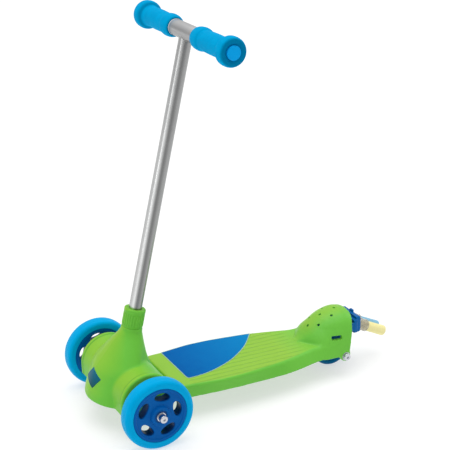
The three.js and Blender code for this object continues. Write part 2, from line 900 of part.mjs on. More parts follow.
// Crossbar, thicker over the middle where the stem meets it
function crossbar() {
  const half = [
    [barSleeveRadius, barSleeveHalfLength - barSleeveChamfer],
    [barSleeveRadius - barSleeveChamfer, barSleeveHalfLength],
    [crossbarRadius, barSleeveHalfLength],
    [crossbarRadius, crossbarHalfLength],
    [crossbarRadius - tubeWall, crossbarHalfLength],
  ];
  return turnedX([...half, ...mirrored(half)], tubeFacets);
}

function grip() {
  const bore = crossbarRadius + fitGap;
  const full = { rim: gripRimRadius, barrel: gripBarrelRadius, flange: gripFlangeRadius };
  const outline = gripOutlineShares.map(({ along, over, towards }) => [
    gripNeckRadius + over * (full[towards] - gripNeckRadius),
    gripInner + along * (gripOuter - gripInner),
  ]);
  return turnedX([
    [bore, gripInner],
    ...outline,
    [gripRecessRadius, gripOuter],
    [plugHeadRadius + fitGap, gripOuter - gripRecessDepth],
    [plugHeadRadius + fitGap, gripOuter + plugProud - plugHeadHeight - fitGap],
    [bore, gripOuter + plugProud - plugHeadHeight - fitGap],
  ], tubeFacets);
}

function endPlug() {
  const face = gripOuter + plugProud;
  const back = face - plugHeadHeight;
  const stem = crossbarRadius - tubeWall - fitGap;
  return turnedX([
    [0, back - plugStemLength],
    [stem - plugRound, back - plugStemLength],
    [stem, back - plugStemLength + plugRound],
    [stem, back],
    [plugHeadRadius, back],
    ...arc(plugHeadRadius - plugRound, face - plugRound, plugRound, 0, 90),
    [0, face],
  ], tubeFacets);
}

function addBarEnd(side, sign) {
  const end = new THREE.Group();
  if (sign < 0) end.rotation.z = Math.PI;
  bar.add(end);
  place(`grip_${side}`, grip(), paint.gripFoam, end);
  place(`grip_end_plug_${side}`, endPlug(), paint.azure, end);
}

// Nose badge: a plain lozenge that follows the curve of the nose

function badgeShape(grow, sunk, proud) {
  const width = badgeWidth + 2 * grow;
  const lozenge = badgeCornerShares.map(({ across, up }) => [across * width, up * width]);
  const outline = prism(lozenge, 0, skirtReach + overrun)
    .rotateX(Math.PI / 2)
    .translate(0, 0, badgeHeight);
  const skin = (inset) => solid(steered(lofted(
    neckOutlineShares.map((row) => neckRing(row, inset)),
  )));
  return skin(-proud).subtract(skin(sunk)).intersect(solid(outline));
}

// Deck with its fender

const deckLength = rimFoot - deckFront;

// Half width of the deck at a Y, at its top or bottom edge
const deckHalf = (y, key) => deckHalfWidth * readTable(
  deckOutlineShares, (y - deckFront) / deckLength, key,
);

// Section of the deck at a Y: level top and bottom, leaning sides and round upper edges
function deckRing(y, inset, top, bottom, edge) {
  const upper = deckHalf(y, 'top') - inset;
  const lower = deckHalf(y, 'bottom') - inset;
  const right = arc(upper - edge, top - edge, edge, 0, 90);
  const section = [[lower, bottom], ...right, ...mirroredSide(right), [-lower, bottom]];
  return section.map(([x, z]) => new THREE.Vector3(x, y, z));
}

const mirroredSide = (side) => side.map(([x, z]) => [-x, z]).reverse();

function deckOuter() {
  const stations = deckOutlineShares.map(({ along }) => deckFront + along * deckLength);
  const rings = [...stations, domeRear].map((y) => deckRing(y, 0, deckTop, deckBottom, deckEdge));
  return solid(lofted(rings));
}

// Hollow underside, split into pockets by long and cross ribs
function deckPockets() {
  const from = deckFront + deckSideWall;
  const inside = ({ along }) => {
    const y = deckFront + along * deckLength;
    return y > from && y < deckCavityRear;
  };
  const stations = deckOutlineShares.filter(inside).map(({ along }) => deckFront + along * deckLength);
  const top = deckTop - deckTopWall;
  const rings = [from, ...stations, deckCavityRear].map((y) => deckRing(
    y, deckSideWall, top, deckBottom - overrun, deckTopWall,
  ));
  const pitch = (deckCavityRear - from) / (deckCrossRibs + 1);
  const crossRibs = Array.from({ length: deckCrossRibs }, (_, k) => box(
    [-deckHalfWidth, from + (k + 1) * pitch - deckRib / 2, deckBottom - overrun],
    [deckHalfWidth, from + (k + 1) * pitch + deckRib / 2, deckTop],
  ));
  const longRibs = [-1, 0, 1].map((k) => box(
    [k * deckLongRibSpacing - deckRib / 2, deckFront, deckBottom - overrun],
    [k * deckLongRibSpacing + deckRib / 2, rimFoot, deckTop],
  ));
  const ribs = joined([...crossRibs, ...longRibs].map(solid));
  return solid(lofted(rings)).subtract(ribs);
}

// Half width and rise of the dome at a Y
function domeSize(y) {
  const ahead = Math.max((domeCrownAt - y) / (domeCrownAt - domeFront), 0);
  const plan = Math.max(1 - ahead ** domePlanPower, 0) ** (1 / domePlanPower);
  const along = (y - domeFront) / (domeCrownAt - domeFront);
  return {
    half: domeHalfWidth * Math.max(plan, domeTipShare),
    rise: readTable(domeCrownShares, along, 'rise') * (domeCrown - domeSpring),
  };
}

// Half width of the dome's foot at a Y: towards the rear it spreads to the deck's lower edge
function domeFoot(y, half) {
  const flare = THREE.MathUtils.clamp((y - flareFrom) / (flareTo - flareFrom), 0, 1);
  return half + flare * (deckHalf(y, 'bottom') - half);
}

// Section of the dome at a Y: upright or leaning walls under a round crown
function domeRing(y, inset, foot) {
  const size = domeSize(y);
  const [half, rise] = [size.half - inset, size.rise - inset];
  const steps = 4 * cornerSteps;
  const arch = Array.from({ length: steps + 1 }, (_, k) => {
    const angle = (Math.PI * k) / steps;
    return [half * Math.cos(angle), domeSpring + rise * Math.sin(angle)];
  });
  const spread = foot < deckBottom
    ? deckHalf(y, 'bottom') - inset - deckSideWall / 2
    : domeFoot(y, half);
  const section = [[spread, foot], ...arch, [-spread, foot]];
  return section.map(([x, z]) => new THREE.Vector3(x, y, z));
}

// Point of the dome's outer face over an X and Y
function domePoint(x, y) {
  const { half, rise } = domeSize(y);
  const z = domeSpring + rise * Math.sqrt(Math.max(1 - (x / half) ** 2, 0));
  return new THREE.Vector3(x, y, z);
}

const domeStations = domeCrownShares.map(
  ({ along }) => domeFront + along * (domeCrownAt - domeFront),
);

const domeOuter = () => solid(lofted(
  domeStations.map((y) => domeRing(y, 0, deckBottom)),
));

function wheelWell() {
  const inside = domeStations.filter((y) => y > domeCavityFront + overrun);
  const rings = [domeCavityFront, ...inside, domeRear + overrun].map(
    (y) => domeRing(y, domeWall, deckBottom - overrun),
  );
  return solid(lofted(rings));
}

// Everything behind the slanting rear rim
function behindRim() {
  const size = deckLength;
  const block = box([-size, 0, -size], [size, size, size]);
  const lean = -THREE.MathUtils.degToRad(rimLeanDegrees);
  return solid(block.rotateX(lean).translate(0, rimFoot, deckBottom));
}

// Round vents, each square to the dome's face
function ventCuts() {
  const columns = [
    [0, middleVentShares],
    [-ventSide, sideVentShares],
    [ventSide, sideVentShares],
  ];
  const upright = new THREE.Vector3(0, 0, 1);
  return columns.flatMap(([x, shares]) => shares.map((share) => {
    const y = domeFront + share * (domeCrownAt - domeFront);
    const centre = domePoint(x, y);
    const alongX = domePoint(x + ventRadius, y).sub(domePoint(x - ventRadius, y));
    const alongY = domePoint(x, y + ventRadius).sub(domePoint(x, y - ventRadius));
    const outward = alongX.cross(alongY).normalize();
    const cut = turned(disc(ventRadius, -2 * domeWall, overrun), smallFacets / 2);
    cut.applyQuaternion(new THREE.Quaternion().setFromUnitVectors(upright, outward));
    return solid(cut.translate(...centre.toArray()));
  }));
}

function sideSlots() {
  const outline = roundedRectangle(slotLength, slotWidth, slotWidth / 2 - weldTolerance);
  return [-1, 1].map((sign) => {
    const from = armInner + armThickness + fitGap;
    const slot = sidePrism(outline, from, domeHalfWidth + domeWall * overrun);
    slot.translate(0, slotAt, slotHeight);
    return solid(sign > 0 ? slot : slot.applyMatrix4(mirrorX));
  });
}

const mirrorX = new THREE.Matrix4().makeScale(-1, 1, 1);

// Tongue that reaches under the housing to the steering axis
function steeringTongue() {
  const floor = deckBottom;
  const eye = solid(steered(turned(
    disc(eyeRadius, -eyeTop - eyeThickness, -eyeTop), tubeFacets,
  )));
  const pivotY = -steeringLead - eyeTop * Math.sin(rake);
  const outline = [
    [-tongueHalfWidth, deckFront + deckSideWall],
    [-tongueHalfWidth, deckFront - deckSideWall],
    [-eyeRadius, pivotY + eyeRadius],
    [-eyeRadius * Math.cos(rake), pivotY],
    [eyeRadius * Math.cos(rake), pivotY],
    [eyeRadius, pivotY + eyeRadius],
    [tongueHalfWidth, deckFront - deckSideWall],
    [tongueHalfWidth, deckFront + deckSideWall],
  ];
  const arm = solid(prism(outline, floor, tongueTop));
  const overEye = solid(steered(turned(
    disc(eyeRadius * 2, -eyeTop, eyeTop), tubeFacets,
  )));
  const under = solid(box(
    [-deckHalfWidth, -deckHalfWidth, floor - deckHalfWidth],
    [deckHalfWidth, deckHalfWidth, floor],
  ));
  return arm.add(eye).subtract(overEye).subtract(under);
}

// Free outline of the inlay, kept inside the deck's edge on the far side
function inlayOutline(inset) {
  const length = inlayRear - inlayFront;
  const free = inlayEdgeShares.map(({ along, side }) => [
    side * deckHalfWidth - inset * Math.sign(1 - along),
    inlayFront + along * length,
  ]);
  free[0][1] += inset;
  free[0][0] -= inlayCorner;
  free[free.length - 1][1] -= inset;
  const steps = free.length;
  const edge = Array.from({ length: steps }, (_, k) => {
    const y = inlayRear - inset - ((length - 2 * inset) * k) / (steps - 1);
    return [-deckHalf(y, 'top') + deckEdge / 2 + inset, y];
  });
  edge[0][0] = Math.max(edge[0][0], free.at(-1)[0] - inlayEdge);
  return [...free, ...edge];
}

function deckInlay() {
  const top = deckTop + inlayProud;
  return prism(inlayOutline(fitGap), top - inlayThickness, top);
}

function deckChassis() {
  const lugs = [-1, 1].map((sign) => {
    const lug = turnedX(disc(lugRadius, lugInner, lugOuter), tubeFacets);
    lug.translate(0, wheelbase, rearTyreRadius);
    return solid(sign > 0 ? lug : lug.applyMatrix4(mirrorX));
  });
  const axleBore = turnedX(disc(boltBore, -deckHalfWidth, deckHalfWidth));
  axleBore.translate(0, wheelbase, rearTyreRadius);
  const inlayFloor = deckTop + inlayProud - inlayThickness - fitGap;
  const inlayPocket = prism(inlayOutline(0), inlayFloor, deckTop + overrun);
  const eyeBore = turned(disc(eyeBoreRadius, -eyeTop - eyeThickness - deckThickness, 0), smallFacets);
  const headRecess = turned(disc(
    headRecessRadius, -eyeTop - eyeThickness - deckThickness,
    -eyeTop - eyeThickness + headRecessDepth,
  ));
  const cuts = [
    behindRim(),
    wheelWell(),
    deckPockets(),
    solid(inlayPocket),
    ...ventCuts(),
    ...sideSlots(),
    solid(steered(eyeBore)),
    solid(steered(headRecess)),
  ];
  const body = joined([deckOuter(), domeOuter(), steeringTongue()]);
  const hollow = cuts.reduce((rest, cut) => rest.subtract(cut), body);
  return geometryOf(joined([hollow, ...lugs]).subtract(solid(axleBore)));
}

// Chalk holder, drawn about the rear axle: Y to the rear and Z up from the axle

const chalkTilt = THREE.MathUtils.degToRad(chalkTiltDegrees);

// Sets a geometry drawn along +Z from the head's rear face, pointing back and down
const outOfHead = (geometry) => geometry
  .rotateX(-Math.PI / 2 - chalkTilt)
  .translate(0, headAt + headDepth, chalkRise);

// Side plate of the yoke with its eye, and the thumb rest seen through the fender's slot
function yokeArm(sign) {
  const outline = [
    ...arc(0, 0, armEyeRadius, 180, 330, 3 * cornerSteps),
    [armRear, armKnee],
    [headAt, armHeel],
    [headAt, armTop],
    [-armBrowAt, armBrow],
    [-armFront, armFrontTop],
    [-armFront, armFront],
  ];
  const plate = sidePrism(outline, armInner, armInner + armThickness);
  const rest = sidePrism(
    roundedRectangle(thumbLength, thumbWidth, thumbWidth / 3),
    armInner, armInner + armThickness + thumbHeight,
  ).translate(0, -thumbAt, slotHeight - rearTyreRadius);
  const arm = solid(plate).add(solid(rest));
  return sign > 0 ? arm : solid(geometryOf(arm).applyMatrix4(mirrorX));
}

// Head with a bulging rear face, round ends in plan and in front view, and a tab on top
function yokeHead() {
  const back = headAt + headDepth - headBulge;
  const bulge = Array.from({ length: 4 * cornerSteps + 1 }, (_, k) => {
    const angle = (Math.PI * k) / (4 * cornerSteps) - Math.PI / 2;
    return [back + headBulge * Math.cos(angle), headHalfHeight * Math.sin(angle)];
  });
  const side = [[headAt, -headHalfHeight], ...bulge, [headAt, headHalfHeight]];
  const block = sidePrism(side, -headHalfWidth, headHalfWidth);
  const plan = prism(
    roundedRectangle(2 * headHalfWidth, 2 * headDepth, headRound), -headHalfHeight, headHalfHeight,
  ).translate(0, headAt, 0);
  const face = prism(
    roundedRectangle(2 * headHalfWidth, 2 * headHalfHeight, headEndRound),
    -headAt - headDepth, -headAt,
  ).rotateX(Math.PI / 2);
  const tab = box(
    [-tabWidth / 2, headAt + tabInset, 0],
    [tabWidth / 2, headAt + tabInset + tabDepth, headHalfHeight + tabRise],
  );
  const head = solid(block).intersect(solid(plan)).intersect(solid(face)).add(solid(tab));
  return head.translate([0, 0, headRise]);
}

function chalkHolder() {
  const width = armInner + armThickness;
  const bridge = box([-width, headAt - crossWall, armHeel], [width, headAt + overrun, armTop]);
  const sleeveSeat = chalkRadius + chalkSleeveWall + 2 * fitGap;
  const sockets = [-1, 1].flatMap((sign) => [
    disc(chalkRadius + fitGap, -chalkSunk - fitGap, headDepth),
    disc(sleeveSeat, -chalkSleeveSunk - fitGap, headDepth + headHalfHeight),
  ].map((profile) => solid(outOfHead(
    turned(profile).translate((sign * chalkSpacing) / 2, 0, 0),
  ))));
  const bore = solid(turnedX(disc(boltBore, -deckHalfWidth, deckHalfWidth)));
  const body = joined([yokeArm(1), yokeArm(-1), yokeHead(), solid(bridge)]);
  return geometryOf([...sockets, bore].reduce((rest, cut) => rest.subtract(cut), body));
}

function chalkStick() {
  const from = -chalkSunk;
  const to = from + chalkLength;
  return turned([
    [0, from],
    [chalkRadius, from],
    [chalkRadius, chalkSleeveLength - chalkSleeveSunk],
    [chalkEndRadius, to - chalkRound],
    [chalkEndRadius - chalkRound, to],
    [0, to],
  ]);
}

// Clear sleeve that grips a chalk in the head
function chalkSleeve() {
  const bore = chalkRadius + fitGap;
  const from = -chalkSleeveSunk;
  const to = from + chalkSleeveLength;
  return turned([
    [bore, from],
    [bore + chalkSleeveWall, from],
    [bore + chalkSleeveWall, to - chalkSleeveRound],
    [bore + chalkSleeveWall - chalkSleeveRound, to],
    [bore, to],
  ]);
}

function addChalk(side, sign, finish) {
  const across = (sign * chalkSpacing) / 2;
  place(`chalk_${side}`, outOfHead(chalkStick().translate(across, 0, 0)), finish, rearAxle);
  const sleeve = outOfHead(chalkSleeve().translate(across, 0, 0));
  place(`chalk_sleeve_${side}`, sleeve, paint.translucent, rearAxle);
}

// Rear wheel on its axle between the fender's lugs

function addRearWheel() {
  const tyre = tyreProfile(rearTyreRadius, rearTyreWidth, rearRimRadius);
  place('rear_tyre', turnedX(tyre, tyreFacets), paint.deepBlue, rearAxle);
  place('rear_hub', rearHub(), paint.deepBlue, rearAxle);
  const names = ['rear_bearing_left', 'rear_bearing_right', 'rear_bearing_spacer'];
  addBearings(names, rearHubWidth, rearAxle);
  const bearingFace = bearingFront(rearHubWidth);
  const lugFace = lugOuter + fitGap;
  const sleeves = {
    rear_inner_sleeve: [bearingFace + fitGap, armInner - fitGap, spacerRadius],
    rear_outer_sleeve: [armInner + armThickness + fitGap, lugInner - fitGap, spacerRadius],
    rear_axle_washer: [lugFace, lugFace + washerThickness, washerRadius],
  };
  Object.entries(sleeves).forEach(([name, [from, to, radius]]) => {
    const finish = name === 'rear_axle_washer' ? paint.steel : paint.aluminium;
    place(`${name}_left`, spacer(from, to, radius), finish, rearAxle);
    place(`${name}_right`, spacer(-to, -from, radius), finish, rearAxle);
  });
  const seat = lugFace + washerThickness + fitGap;
  const boltEnd = -seat - nutHeight - threadRunout;
  place('rear_axle_bolt', bolt(boltEnd, seat), paint.steel, rearAxle);
  place('rear_axle_nut', nut(-seat - nutHeight), paint.steel, rearAxle);
}

// Steering pivot, drawn about the steering axis

function addSteeringPivot() {
  const eyeFloor = -eyeTop - eyeThickness + headRecessDepth;
  const bushRadius = boltBore + bushWall;
  const washerTop = -postFoot - fitGap;
  const bush = turned([
    [boltBore, eyeFloor],
    [bushRadius, eyeFloor],
    [bushRadius, -eyeTop + fitGap],
    [bushFlangeRadius, -eyeTop + fitGap],
    [bushFlangeRadius, washerTop],
    [boltBore, washerTop],
  ]);
  place('steering_bush', bush, paint.nylon, steering);
  const washerFoot = eyeFloor - fitGap - washerThickness;
  const washer = turned(ring(boltBore, washerRadius, washerFoot, eyeFloor - fitGap));
  place('kingpin_washer', washer, paint.steel, steering);
  const headFace = washerFoot - fitGap;
  const nutFoot = postFloor - postFoot + fitGap;
  const kingpin = bolt(-(nutFoot + nutHeight + threadRunout), -headFace).rotateY(Math.PI / 2);
  place('kingpin', kingpin, paint.steel, steering);
  place('kingpin_nut', nut(nutFoot).rotateY(-Math.PI / 2), paint.steel, steering);
}

// Assembly

place('deck_chassis', deckChassis(), paint.green);
place('deck_inlay', deckInlay(), paint.inlay);

const badgePocket = badgeShape(2 * fitGap, badgeSunk + fitGap, badgeProud + overrun);
place('nose_badge', geometryOf(badgeShape(0, badgeSunk, badgeProud)), paint.deepBlue);
place('front_housing', geometryOf(steeringHousing().subtract(badgePocket)), paint.green);

place('locking_collar', lockingCollar(), paint.green, steering);
place('stem_tube', stemTube(), paint.aluminium, steering);
place('crossbar', crossbar(), paint.aluminium, bar);
addSteeringPivot();
Object.entries({ left: 1, right: -1 }).forEach(([side, sign]) => {
  addFrontWheel(side, sign);
  addBarEnd(side, sign);
});

addRearWheel();
place('chalk_holder', chalkHolder(), paint.deepBlue, rearAxle);
addChalk('left', 1, paint.yellowChalk);
addChalk('right', -1, paint.blueChalk);

// The finished scooter stands on Z = 0 with Y = 0 at the middle of its length
const extent = new THREE.Box3().setFromObject(scooter, true);
scooter.position.set(0, -(extent.min.y + extent.max.y) / 2, -extent.min.z);

export default scooter;
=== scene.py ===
"""Looks for the three wheel kids scooter: moulded skins, turned parts, foam grips and chalks.

Lengths are in millimetres with the front axle at Y = 0, and become metres in the frame's place
when a mesh is made."""

import functools
import math

import bmesh
import bpy
import numpy as np
from mathutils import Matrix, Vector


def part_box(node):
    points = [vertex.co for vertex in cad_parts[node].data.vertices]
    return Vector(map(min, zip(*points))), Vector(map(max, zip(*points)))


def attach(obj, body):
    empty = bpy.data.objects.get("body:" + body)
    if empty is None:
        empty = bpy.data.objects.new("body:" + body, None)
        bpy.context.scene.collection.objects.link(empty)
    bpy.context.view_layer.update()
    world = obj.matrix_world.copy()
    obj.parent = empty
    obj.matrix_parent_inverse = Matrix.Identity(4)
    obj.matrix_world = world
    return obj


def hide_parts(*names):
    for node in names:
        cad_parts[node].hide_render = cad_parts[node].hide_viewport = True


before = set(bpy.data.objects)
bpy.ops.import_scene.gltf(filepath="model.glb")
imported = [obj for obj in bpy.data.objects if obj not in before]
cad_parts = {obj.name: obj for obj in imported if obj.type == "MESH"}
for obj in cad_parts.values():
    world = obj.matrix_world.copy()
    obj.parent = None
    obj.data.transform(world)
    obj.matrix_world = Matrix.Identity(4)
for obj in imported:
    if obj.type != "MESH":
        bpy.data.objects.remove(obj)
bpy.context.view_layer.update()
scene = bpy.context.scene
scene.view_settings.view_transform = "Standard"

MM = 0.001
SIDES = {"left": 1, "right": -1}


# Layout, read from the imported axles

def middle_of(node):
    low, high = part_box(node)
    return (low + high) / 2 / MM


FRONT_AXLE_Y = middle_of("front_axle_bolt_left").y
FRONT_AXLE_Z = middle_of("front_axle_bolt_left").z
WHEELBASE = middle_of("rear_axle_bolt").y - FRONT_AXLE_Y
REAR_AXLE_Z = middle_of("rear_axle_bolt").z
TRACK_HALF = middle_of("front_tyre_left").x
RAKE, LEAD, BAR_HEIGHT = math.radians(12.42), 9.2, 673.2
BAR_RISE = (BAR_HEIGHT - FRONT_AXLE_Z) / math.cos(RAKE)

INTO_FRAME = Matrix.Scale(MM, 4) @ Matrix.Translation((0, FRONT_AXLE_Y, 0))
STEERED = Matrix.Translation((0, -LEAD, FRONT_AXLE_Z)) @ Matrix.Rotation(-RAKE, 4, "X")
BAR = STEERED @ Matrix.Translation((0, 0, BAR_RISE))
REAR = Matrix.Translation((0, WHEELBASE, REAR_AXLE_Z))
ALONG_X = Matrix.Rotation(math.pi / 2, 4, "Y")
AT_FRAME_ORIGIN = INTO_FRAME.inverted() @ Matrix.Scale(MM, 4)


def side_turn(sign):
    """Half a turn about the upright axis for the pieces of the right side."""
    return Matrix.Rotation(0 if sign > 0 else math.pi, 4, "Z")


def placed(name, data):
    """New object in the scene."""
    made = bpy.data.objects.new(name, data)
    scene.collection.objects.link(made)
    return made


def aimed(made, place, target):
    """Object at a place, its local -Z towards a target."""
    made.location = place
    made.rotation_euler = (Vector(target) - made.location).to_track_quat("-Z", "Y").to_euler()
    return made


# Camera, fitted to the photograph
CAMERA_AT = (1906.59, -788.03, 1144.67)
CAMERA_TO = (0, 195.57, 322.09)
camera_data = bpy.data.cameras.new("camera")
camera_data.sensor_width, camera_data.lens, camera_data.clip_end = 36, 104.63, 60
scene.camera = aimed(placed("camera", camera_data), INTO_FRAME @ Vector(CAMERA_AT),
                     INTO_FRAME @ Vector(CAMERA_TO))


# Materials

def colour(red, green, blue):
    """Linear colour of an sRGB colour given from 0 to 255."""
    def linear(value):
        value /= 255
        return value / 12.92 if value <= 0.04045 else ((value + 0.055) / 1.055) ** 2.4
    return (linear(red), linear(green), linear(blue), 1)


def pair(dark, full):
    """A darker and a fuller shade."""
    return colour(*dark), colour(*full)


def frame_y(y):
    """A place along the scooter, in metres in the frame."""
    return (INTO_FRAME @ Vector((0, y, 0))).y


WHITE, COOL = (1, 1, 1, 1), (0.3, 0.75, 1, 1)
# painted light: the shaded green of surfaces turned from the light, and the lit greens of those
# turned to it
SHADED_GREEN = pair((105, 191, 62), (111, 196, 66))
HOUSING_LIT_GREEN = pair((139, 191, 54), (145, 195, 58))
DECK_LIT_GREEN = pair((146, 193, 54), (152, 197, 58))
TREAD_FRONT, TREAD_REAR, TREAD_PITCH = 100, 350, 13
INLAY_FRONT, INLAY_REAR, INLAY_TOP = 97, 281, 65.0
ARCH_LIP = 85
# painted shade in the hub's openings: full within the first distance of the wheel's middle plane,
# gone by the second
HUB_DARK_FROM, HUB_DARK_TO = 8.2, 10.9
# Painted reflection across a tube: a direction, then the grey at each share from facing away to
# facing it
STEM_PAINTED_REFLECTION = ((-0.458, -0.889, 0), [(0.0, 160), (0.2, 156), (0.36, 128), (0.46, 126), (0.56, 172),
                                    (0.67, 232), (0.8, 206), (1.0, 176)])
BAR_PAINTED_REFLECTION = ((0, 0, 1), [(0.2, 160), (0.45, 168), (0.65, 190), (0.95, 222)])


class Finish:
    """One procedural material under construction."""

    def __init__(self, name):
        self.material = bpy.data.materials.new(name)
        self.material.use_nodes = True
        self.nodes = self.material.node_tree.nodes
        self.place = self.nodes.new("ShaderNodeTexCoord").outputs["Object"]

    def feed(self, sockets, values):
        """Links or sets sockets by their names or numbers."""
        for key, value in values.items():
            if isinstance(value, bpy.types.NodeSocket):
                self.material.node_tree.links.new(value, sockets[key])
            else:
                sockets[key].default_value = value

    def shade(self, **values):
        """Feeds the shader, with underscores for its sockets' spaces, and gives the material."""
        self.feed(self.nodes["Principled BSDF"].inputs,
                  {name.replace("_", " "): value for name, value in values.items()})
        return self.material

    def node(self, kind, inputs, **settings):
        node = self.nodes.new("ShaderNode" + kind)
        for name, value in settings.items():
            setattr(node, name, value)
        self.feed(node.inputs, inputs)
        return node

    def along(self, axis):
        return self.node("SeparateXYZ", {0: self.place}).outputs[axis]

    def off_planes(self, at):
        """Distance from the two upright planes that lie at either side."""
        across = self.sums("ABSOLUTE", self.along("X"))
        return self.sums("ABSOLUTE", self.sums("SUBTRACT", across, at * MM))

    def facing(self, way):
        """How far the surface faces a way, from -1 to 1."""
        normal = self.node("NewGeometry", {}).outputs["Normal"]
        dot = self.node("VectorMath", {0: normal, 1: way}, operation="DOT_PRODUCT")
        return dot.outputs["Value"]

    def noise(self, scale, detail=2, rough=0.5, place=None):
        inputs = {"Vector": place or self.place, "Scale": scale, "Detail": detail,
                  "Roughness": rough}
        return self.node("TexNoise", inputs).outputs["Fac"]

    def stops(self, factor, stops):
        """Colours at their places along a factor."""
        node = self.node("ValToRGB", {"Fac": factor})
        elements = node.color_ramp.elements
        while len(elements) < len(stops):
            elements.new(0.5)
        for element, (at, shade) in zip(elements, stops):
            element.position, element.color = at, shade
        return node.outputs["Color"]

    def ramp(self, factor, low, high, start=0.0, end=1.0):
        """Blend of two values or colours over a span of the factor."""
        if not isinstance(low, (int, float)):
            return self.stops(factor, [(start, low), (end, high)])
        inputs = {"Value": factor, "From Min": start, "From Max": end, "To Min": low,
                  "To Max": high}
        return self.node("MapRange", inputs).outputs["Result"]

    def drift(self, shades, scale=18, detail=3, start=0.3, end=0.7):
        """A slow drift between a darker and a fuller shade."""
        return self.ramp(self.noise(scale, detail), *shades, start, end)

    def mix(self, factor, first, second, blend="MIX"):
        return self.node("Mix", {0: factor, 6: first, 7: second}, data_type="RGBA",
                         blend_type=blend).outputs[2]

    def sums(self, operation, first, second=0.0):
        return self.node("Math", {0: first, 1: second}, operation=operation).outputs[0]

    def bump(self, height, distance, strength=1.0, below=None):
        inputs = {"Height": height, "Distance": distance, "Strength": strength}
        if below is not None:
            inputs["Normal"] = below
        return self.node("Bump", inputs).outputs["Normal"]

    def mould_grain(self, depth=0.00003):
        """Fine mould grain over faint flow waves."""
        return self.bump(self.noise(2600), depth, 0.5, self.bump(self.noise(60), 0.0002, 0.2))

    def satin(self, base, low, high, normal=None, gloss=0.25, tint=WHITE, index=1.49):
        """A moulded surface whose satin wanders between two roughnesses."""
        return self.shade(
            Base_Color=base, Roughness=self.ramp(self.noise(90, 4), low, high, 0.3, 0.7),
            Normal=self.mould_grain() if normal is None else normal,
            IOR=index, Specular_IOR_Level=gloss, Specular_Tint=tint)


def moulded(name, shades, rough, gloss=0.25, tint=WHITE):
    """Injection-moulded plastic with a slow drift of tint."""
    finish = Finish(name)
    return finish.satin(finish.drift(shades), rough - 0.05, rough + 0.06, gloss=gloss, tint=tint)


def hub_moulding(name, shades, deep):
    """Blue hub plastic, with painted shade on the walls inside its openings."""
    finish = Finish(name)
    inside = finish.ramp(finish.off_planes(TRACK_HALF), 1.0, 0.0, HUB_DARK_FROM * MM,
                         HUB_DARK_TO * MM)
    return finish.satin(finish.mix(inside, finish.drift(shades), deep), 0.27, 0.38, gloss=0.15,
                        tint=COOL)


def painted_light_green(finish, shades, toward_light, start, end):
    """Painted light and shade: the shaded green where the surface faces away from a way, the lit
    lime where it faces towards it.
    """
    slow = finish.noise(16, 3)
    shaded_green, lit_green = (finish.ramp(slow, *both_shades, 0.3, 0.7)
                   for both_shades in (SHADED_GREEN, shades))
    return finish.mix(finish.ramp(finish.facing(toward_light), 0.0, 1.0, start, end), shaded_green, lit_green)


def housing_moulding(name, line_shade):
    """The housing's green with painted light and shade by the way it faces, and a painted shade
    line inside each arch's lip.
    """
    finish = Finish(name)
    green = painted_light_green(finish, HOUSING_LIT_GREEN, (-0.5, -0.55, 0.67), 0.38, 0.98)
    lip_shade_line = finish.ramp(finish.off_planes(ARCH_LIP), 0.75, 0.0, 0.0005, 0.0022)
    return finish.satin(finish.mix(lip_shade_line, green, line_shade), 0.3, 0.4, gloss=0.2, index=1.35)


def deck_moulding(name, groove_shade):
    """The deck's green with painted light and shade by the way it faces, painted shade beside the
    fender and up the dome, and shallow tread lines, with painted shade in them, that run along its
    level top.
    """
    finish = Finish(name)
    along, rise = finish.along("Y"), finish.along("Z")
    front, rear = frame_y(TREAD_FRONT), frame_y(TREAD_REAR)
    wall = SHADED_GREEN[1]
    green = painted_light_green(finish, DECK_LIT_GREEN, (-0.45, -0.28, 0.85), 0.55, 0.9)
    # painted shade: the shaded green on the ledge beside the fender, and in part up the dome
    fender_ledge_shade = finish.sums("MULTIPLY", finish.ramp(rise, 1.0, 0.0, 0.075, 0.09),
                                finish.ramp(along, 0.0, 0.8, rear - 0.05, rear + 0.02))
    green = finish.mix(fender_ledge_shade, green, wall)
    green = finish.mix(finish.ramp(rise, 0.0, 0.4, 0.08, 0.1), green, wall)
    turns = finish.sums("MULTIPLY", finish.along("X"), 2 * math.pi / (TREAD_PITCH * MM))
    groove = finish.ramp(finish.sums("SINE", turns), 0.0, 1.0, 0.55, 0.98)
    for limit in (finish.ramp(finish.facing((0, 0, 1)), 0.0, 1.0, 0.9, 0.99),
                  finish.ramp(along, 0.0, 1.0, front - 0.006, front),
                  finish.ramp(along, 1.0, 0.0, rear - 0.02, rear)):
        groove = finish.sums("MULTIPLY", groove, limit)
    # painted shade in the tread grooves, made uneven by noise
    uneven_groove_shade = finish.sums("MULTIPLY", groove, finish.ramp(finish.noise(35, 3), 0.3, 0.8, 0.3, 0.7))
    return finish.satin(finish.mix(uneven_groove_shade, green, groove_shade), 0.32, 0.44,
                        finish.bump(groove, -0.0006, 0.7, finish.mould_grain(0.00004)))


def cast_tyre(name, shades):
    """Cast urethane with a slow tint, faint dust marks and a fine skin."""
    finish = Finish(name)
    marks = finish.noise(140, 5, 0.7)
    return finish.shade(
        Base_Color=finish.drift(shades, 25),
        Roughness=finish.ramp(marks, 0.34, 0.54, 0.3, 0.75),
        Normal=finish.bump(finish.noise(1500, 3), 0.00004, 0.6),
        IOR=1.2, Specular_IOR_Level=0.3, Specular_Tint=(0.25, 0.8, 1, 1))


